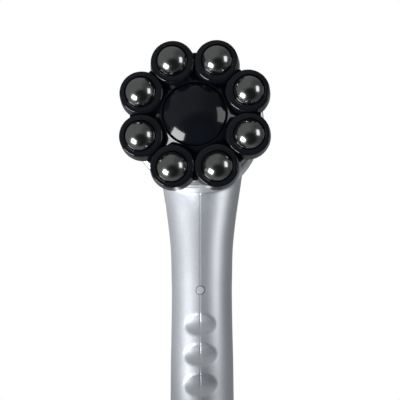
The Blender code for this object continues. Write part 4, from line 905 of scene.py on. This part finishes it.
# %% Rounded seam lip
SEAM_SINK = 0.00016
SEAM_GAP = 0.00003
LIP_WIDTH = 0.0009
bm = bmesh.new()
bm.from_mesh(form.data)
for offset in (LIP_WIDTH, 0.00055, 0.00028, SEAM_GAP):
    bmesh.ops.bisect_plane(
        bm, geom=bm.verts[:] + bm.edges[:] + bm.faces[:], dist=1e-6, plane_co=(offset, 0, 0),
        plane_no=(1, 0, 0),
    )
bm.normal_update()
for vert in bm.verts:
    share = min(1, max(0, 1 - vert.co.x / LIP_WIDTH))
    vert.co -= vert.normal * SEAM_SINK * share**2
print("skin with its lip:", len(bm.faces), "faces")
bm.to_mesh(form.data)
bm.free()

# %% [markdown]
# The shells are hollow. A copy of the skin, shrunk along its normals by the wall, is the room inside. The
# bosses of the four screws are left out of that room, so they stay in the wall. Each screw is placed by
# its y and z.

# %% The hollow
SCREW_SPOTS = ((-0.028, 0.0165), (0.0, 0.0935), (-0.002, 0.2085), (0.010, 0.292))
SCREW_BOSS = 0.0056
bm = bmesh.new()
bm.from_mesh(form.data)
bm.normal_update()
for vert, step in [(vert, vert.normal * SHELL_WALL) for vert in bm.verts]:
    vert.co -= step
hollow = placed("hollow", bm)
spots = [Matrix.Translation((0, y, z)) @ across for y, z in SCREW_SPOTS]
bosses = [roller(SCREW_BOSS, -0.06, 0.06, spot, steps=40) for spot in spots]
carve(hollow, bosses)
settled(hollow)
clear(*bosses)
print("hollow:", len(hollow.data.polygons), "faces")

# %% [markdown]
# Both shells share the openings on the seam: the mouth and the room for the drum's spigot, and the holes
# for the indicator, the charging socket and the slider. Each tool is as wide as its piece and a gap. The
# left shell alone has the wells of the screws.

# %% Tools for the openings
SPIGOT_ROOM, LENS_HOLE, JACK_HOLE = 0.0455, 0.0036, 0.0055
WELL_RADIUS, SHANK_HOLE = 0.0034, 0.0016
mouth_radius, mouth_flare = DRUM_REAR_RADIUS + 0.0002, DRUM_REAR_RADIUS + 0.0014
mouth = roller(mouth_radius, POD_FWD, POD_FWD + 0.012, head_frame, mouth_flare, 160)
slot = block((-0.0035, 0.0, 0.1447), (0.0035, 0.04, 0.1653))
bevelled(slot, [e for e in slot.edges if abs((e.verts[0].co - e.verts[1].co).y) > 0.01], 0.0012, 4)
openings = [
    roller(SPIGOT_ROOM, POD_FWD - 0.0072, POD_FWD + 0.01, head_frame, steps=128),
    roller(LENS_HOLE, 0.0, 0.04, Matrix.Translation((0, 0, LENS_HEIGHT)) @ along_y),
    roller(JACK_HOLE, -0.04, 0.0, Matrix.Translation((0, 0, SOCKET_HEIGHT)) @ along_y),
    placed("slot", slot),
]
wells = [roller(WELL_RADIUS, -0.06, -0.006, spot) for spot in spots]
shank_holes = [roller(SHANK_HOLE, -0.007, 0.0095, spot, steps=24) for spot in spots]
print("openings:", 1 + len(openings) + len(wells) + len(shank_holes))

# %% [markdown]
# The skin is the right half's. The left half is its mirror image, so the two match at the seam, and a
# mirrored mesh is inside out until its faces are flipped.

# %% Cut both halves
for label, side in (("right", 1), ("left", -1)):
    half = linked(f"shell_{label}", form.data.copy())
    inside = linked("inside", hollow.data.copy())
    if side < 0:
        for obj in (half, inside):
            obj.data.transform(Matrix.Diagonal((-1, 1, 1, 1)))
            obj.data.flip_normals()
    low, high = sorted((side * SEAM_GAP, side * 0.08))
    room = placed("room", block((low, -0.1, SHELL_BASE), (high, 0.1, 0.4)))
    carve(half, [room], "INTERSECT")
    carve(half, [mouth, inside, *openings, *shank_holes, *(wells if side < 0 else [])])
    settled(half)
    clear(room, inside)
    stands_for(dressed(half, silver_paint, 40), "handle", "silver_paint", f"handle_shell_{label}")
clear(form, hollow, mouth, *openings, *wells, *shank_holes)

# %% [markdown]
# ## The small pieces on the handle
#
# The indicator is the small round piece on the seam: a shallow dome on a stem, with a flange that sits
# behind the shells. It is turned, so the dome's arc is part of its profile.

# %% Indicator
LENS_RADIUS, LENS_SAG = 0.0031, 0.0003
STEM_RADIUS, STEM_END = 0.0016, 0.003
FLANGE_RADIUS, FLANGE_REAR, FLANGE_FRONT = 0.0046, 0.0197, 0.0212
lens_top = GRIP_FRONT + 0.0006
lens_curve = (LENS_RADIUS**2 + LENS_SAG**2) / (2 * LENS_SAG)
lens_lean = math.asin(LENS_RADIUS / lens_curve)
lens_profile = [(0.0, STEM_END), (STEM_RADIUS, STEM_END), (STEM_RADIUS, FLANGE_REAR)]
lens_profile += [(FLANGE_RADIUS, FLANGE_REAR), (FLANGE_RADIUS, FLANGE_FRONT), (LENS_RADIUS, FLANGE_FRONT)]
for step in range(13):
    lean = lens_lean * (1 - step / 12)
    lens_profile.append((lens_curve * math.sin(lean), lens_top - lens_curve * (1 - math.cos(lean))))
lens = spun(lens_profile, 64, closed=False)
rounded(lens, LENS_RADIUS, lens_top - lens_curve * (1 - math.cos(lens_lean)), 0.00025, 3)
lens_place = Matrix.Translation((0, 0, LENS_HEIGHT)) @ along_y
stands_for(dressed(placed("indicator", lens, lens_place), lens_finish), "handle", "lens", "indicator_lens")

# %% [markdown]
# The speed knob slides behind the handle. It is a block with finger ridges, pressed by five round bars,
# on a neck that goes through the slot to a shutter and a pin inside. Its crests are rounded last, by the
# angle between their faces, because the bars have cut the edges anew.

# %% Speed knob
KNOB_LOW = 0.0263
KNOB_TOP = KNOB_LOW + 0.0028
DIP_RADIUS, DIP_RISE, DIP_PITCH = 0.0016, 0.0009, 0.0028
NECK = ((-0.0032, 0.0219, -0.004), (0.0032, KNOB_LOW + 0.0005, 0.004))
SHUTTER = ((-0.006, 0.0208, -0.0168), (0.006, 0.0221, 0.0168))
PIN = ((-0.0015, 0.0148, -0.002), (0.0015, 0.021, 0.002))
knob = block((-0.006, KNOB_LOW, -0.007), (0.006, KNOB_TOP, 0.007))
bevelled(knob, [e for e in knob.edges if abs((e.verts[0].co - e.verts[1].co).y) > 0.001], 0.0016, 6)
knob_face = placed("knob", knob)
dips = []
for row in range(5):
    dip_place = Matrix.Translation((0, KNOB_TOP + DIP_RISE, -0.0056 + DIP_PITCH * row)) @ across
    dips.append(roller(DIP_RADIUS, -0.008, 0.008, dip_place, steps=32))
carve(knob_face, dips)
settled(knob_face)
bm = bmesh.new()
bm.from_mesh(knob_face.data)
clear(knob_face, *dips)
bevelled(bm, [e for e in bm.edges if len(e.link_faces) == 2 and e.calc_face_angle() > 0.6], 0.0002, 2, True)
for low, high in (NECK, SHUTTER, PIN):
    add_copies(bm, block(low, high))
slider = dressed(placed("slider", bm, Matrix.Translation((0, 0, KNOB_HEIGHT))), dark_moulding, 30)
stands_for(slider, "slider", "dark_plastic", "speed_knob")

# %% [markdown]
# The charging socket is a round cup with its pin in the middle, let in low at the back. A plug is round,
# so the socket is turned too, in one profile from its flange to its pin.

# %% Charging socket
JACK_RIM, JACK_BORE, PIN_RADIUS = 0.0052, 0.0034, 0.001
JACK_FACE, PIN_TIP = -0.026, -0.0245
jack_profile = [
    (0.0, -0.0117), (JACK_RIM, -0.0117), (JACK_RIM, -0.0195), (0.0066, -0.0195), (0.0066, -0.0215),
    (JACK_RIM, -0.0215), (JACK_RIM, JACK_FACE), (JACK_BORE, JACK_FACE), (JACK_BORE, -0.017),
    (PIN_RADIUS, -0.017), (PIN_RADIUS, PIN_TIP), (0.0, PIN_TIP),
]
jack = spun(jack_profile, 64, closed=False)
rounded(jack, JACK_RIM, JACK_FACE, 0.0004, 3)
rounded(jack, JACK_BORE, JACK_FACE, 0.0003, 3)
rounded(jack, PIN_RADIUS, PIN_TIP, 0.0003, 3)
jack_place = Matrix.Translation((0, 0, SOCKET_HEIGHT)) @ along_y
inlet = dressed(placed("charging_inlet", jack, jack_place), dark_moulding)
stands_for(inlet, "handle", "dark_plastic", "charging_socket")

# %% [markdown]
# Four screws hold the shells together, each at the bottom of its well. The screw is turned, and two small
# blocks press the cross recess into its head. Threads would never be seen, so the shank is plain.

# %% Screws of the shells
SCREW_PROFILE = (
    (0.0, -0.0083), (0.0022, -0.0083), (0.0031, -0.0076), (0.0031, -0.0063), (0.00125, -0.0063),
    (0.00125, 0.0084), (0.0006, 0.009), (0.0, 0.009),
)
RECESS_SIZES = ((0.0004, 0.0019), (0.0019, 0.0004))
for index, spot in enumerate(spots):
    head = placed("screw", spun(SCREW_PROFILE, 48, closed=False))
    cross = [placed("recess", block((-x, -y, -0.009), (x, y, -0.0074))) for x, y in RECESS_SIZES]
    carve(head, cross)
    settled(head)
    bm = bmesh.new()
    bm.from_mesh(head.data)
    clear(head, *cross)
    screw = dressed(placed(f"screw_{index + 1}", bm, spot), turned_steel)
    stands_for(screw, "handle", "steel", f"shell_screw_{index + 1}")

# %% [markdown]
# ## Foot
#
# A cap closes the shells below, with a plug that goes up inside them. Both have the outline of the foot,
# which is no circle, so they are discs scaled to it and extruded, not spun.


# %% Foot cap
def foot_slab(inset, low, high):
    """A slab with the outline of the foot."""
    bm = bmesh.new()
    ring = bmesh.ops.create_circle(bm, cap_ends=True, segments=128, radius=1)["verts"]
    for vert in ring:
        depth = GRIP_BACK if vert.co.y > 0 else FOOT_FRONT
        vert.co = (vert.co.x * (FOOT_WIDTH - inset), vert.co.y * (depth - inset), low)
    top = bmesh.ops.extrude_face_region(bm, geom=bm.faces[:])["geom"]
    raised = [v for v in top if isinstance(v, bmesh.types.BMVert)]
    bmesh.ops.translate(bm, vec=(0, 0, high - low), verts=raised)
    bmesh.ops.recalc_face_normals(bm, faces=bm.faces)
    return bm


CAP_BASE = 0.0015
cap_slab = foot_slab(0, CAP_BASE, 0.004)
low_ring = [e for e in cap_slab.edges if all(abs(v.co.z - CAP_BASE) < 1e-6 for v in e.verts)]
bevelled(cap_slab, low_ring, 0.0012, 5)
add_copies(cap_slab, foot_slab(0.0028, 0.0038, 0.0074))
stands_for(dressed(placed("foot_cap", cap_slab), silver_paint), "handle", "silver_paint", "base_cap")

# %% [markdown]
# A rubber pad is glued under the cap and keeps it from slipping. Its ribs follow its outline, so they are
# made by insetting the underside again and again, with a step in or out each time.

# %% Foot pad
RIB_PITCH, RIB_STEP = 0.0035, 0.0004
pad_slab = foot_slab(0.002, 0.0, 0.0012)
for step in range(3):
    for width, depth in ((RIB_PITCH, 0.0), (RIB_STEP, -RIB_STEP if step % 2 == 0 else RIB_STEP)):
        sole = [f for f in pad_slab.faces if f.normal.z < -0.9 and len(f.verts) > 50]
        bmesh.ops.inset_region(pad_slab, faces=sole, thickness=width, depth=depth)
stands_for(dressed(placed("foot_rubber_pad", pad_slab), foot_rubber), "handle", "rubber", "foot_pad")

# %% [markdown]
# ## Every other solid
#
# The pieces inside the shells are right as they are, so they keep their own meshes. Each gets the finish
# of its material slot.

# %% Finishes for the solids that stay
finish_of_slot = {
    "silver_paint": silver_paint, "black_gloss": black_gloss, "dark_plating": dark_plating,
    "steel": turned_steel, "bronze": sintered_bronze, "gear_plastic": gear_nylon,
    "dark_plastic": dark_moulding, "felt": felt, "board": solder_mask, "cell_wrap": cell_wrap,
    "magnet": magnet, "rubber": foot_rubber, "lens": lens_finish, "lead_red": lead_red,
    "lead_black": lead_black,
}
for part in frame["record"]["subparts"]:
    solid = frame["nodes"][part["node"]]
    for slot in solid.material_slots:
        slot.material = finish_of_slot[part["material_slot"]]

# %% [markdown]
# ## Light and background
#
# Two softboxes light the part: a large one from the left and below the camera, which gives each ball its
# spot, and a weaker one from the right. They are placed by directions seen from the camera, as a
# photographer would, and turned to face the ring of balls.

# %% Lamps
ring_centre = Vector((0, -BALL_FWD, HEAD_HEIGHT))
view_matrix = camera.rotation_euler.to_matrix()


def softbox(name, direction, distance, size, radiance, spin=0.0):
    """A rectangular lamp, placed by a direction in the camera's axes (right, up, towards the camera)."""
    lamp = bpy.data.lights.new(name, "AREA")
    lamp.shape, (lamp.size, lamp.size_y) = "RECTANGLE", size
    lamp.energy = radiance * math.pi * size[0] * size[1]
    obj = linked(name, lamp)
    way = (view_matrix @ Vector(direction)).normalized()
    obj.location = ring_centre + way * distance
    facing = way.to_track_quat("Z", "Y").to_matrix()
    obj.rotation_euler = (facing @ Matrix.Rotation(spin, 3, "Z")).to_euler()
    print("lamp:", name, round(lamp.energy, 2), "W")


softbox("softbox_left", (-0.69, -0.48, 0.54), 1.25, (0.52, 0.66), 18.0, math.radians(38))
softbox("softbox_right", (0.863, 0.245, 0.442), 0.80, (0.31, 0.44), 3.6)

# %% [markdown]
# The photograph's background is white, but its black plastic mirrors a dim studio. So the world has three
# faces: white for the camera, a mid grey for diffuse light, and for reflections a dim grey room that gets
# darker to the right and in a cone in front of and below the part, where the photographer stands.

# %% World
world = bpy.data.worlds.new("studio")
bpy.context.scene.world = world
world.use_nodes = True
world.node_tree.nodes.clear()
room = Nodes(world.node_tree, "Generated")


def towards(direction, low, high):
    """1 in a soft cone about a direction, 0 outside it."""
    middle = tuple(Vector(direction).normalized())
    facing = room.node("VectorMath", {"operation": "DOT_PRODUCT"}, {0: room.place, 1: middle}, "Value")
    return room.fade(facing, low, high)


grey = room.between(towards((1.0, -0.15, 0.1), 0.10, 0.75), (0.30, 0.31, 0.31), (0.15, 0.155, 0.155))
grey = room.between(towards((0.12, -0.80, -0.58), 0.50, 0.86), grey, (0.03, 0.03, 0.035))
mirrored = room.node("Background", {}, {"Color": grey})
lit = room.node("Background", {}, {"Color": (0.27, 0.27, 0.28)})
shown = room.node("Background", {}, {"Color": (1, 1, 1)})
is_diffuse = room.node("LightPath", out="Is Diffuse Ray")
is_camera = room.node("LightPath", out="Is Camera Ray")
around = room.node("MixShader", {}, {0: is_diffuse, 1: mirrored, 2: lit})
room.node("OutputWorld", {}, {0: room.node("MixShader", {}, {0: is_camera, 1: around, 2: shown})}, None)
bpy.context.scene.view_settings.view_transform = "Standard"
print("world:", len(world.node_tree.nodes), "nodes")

# %% [markdown]
# The part stands on a pale disc, which holds its shadow. The disc fades out before its edge, so that no
# line shows between it and the white. It glows a little, because a dim world would turn it grey in the
# other views, and glossy rays pass through it.

# %% Floor
FLOOR_RADIUS = 0.24
FADE_START, FADE_END = 0.13, 0.235
FLOOR_GLOW = 0.55
bm = bmesh.new()
bmesh.ops.create_circle(bm, cap_ends=True, segments=96, radius=FLOOR_RADIUS)
ground = Finish("floor", metallic=0.0)
mottle = ground.noise(12, 2.0)
ground.surface(colour=ground.between(mottle, (0.80, 0.80, 0.80), (0.84, 0.84, 0.84)), roughness=0.9)
ground.join((0.8, 0.8, 0.8), ground.shader.inputs["Emission Color"])
ground.join(FLOOR_GLOW, ground.shader.inputs["Emission Strength"])
reach = ground.node("VectorMath", {"operation": "LENGTH"}, {0: ground.place}, "Value")
faded = ground.fade(reach, FADE_START, FADE_END)
is_glossy = ground.node("LightPath", out="Is Glossy Ray")
see_through = ground.node("Math", {"operation": "MAXIMUM"}, {0: faded, 1: is_glossy})
opaque = Number(ground, ground.shader.outputs[0])
blend = ground.node("MixShader", {}, {0: see_through, 1: opaque, 2: ground.node("BsdfTransparent")})
ground.join(blend, ground.tree.nodes["Material Output"].inputs[0])
dressed(placed("floor", bm), ground.material)
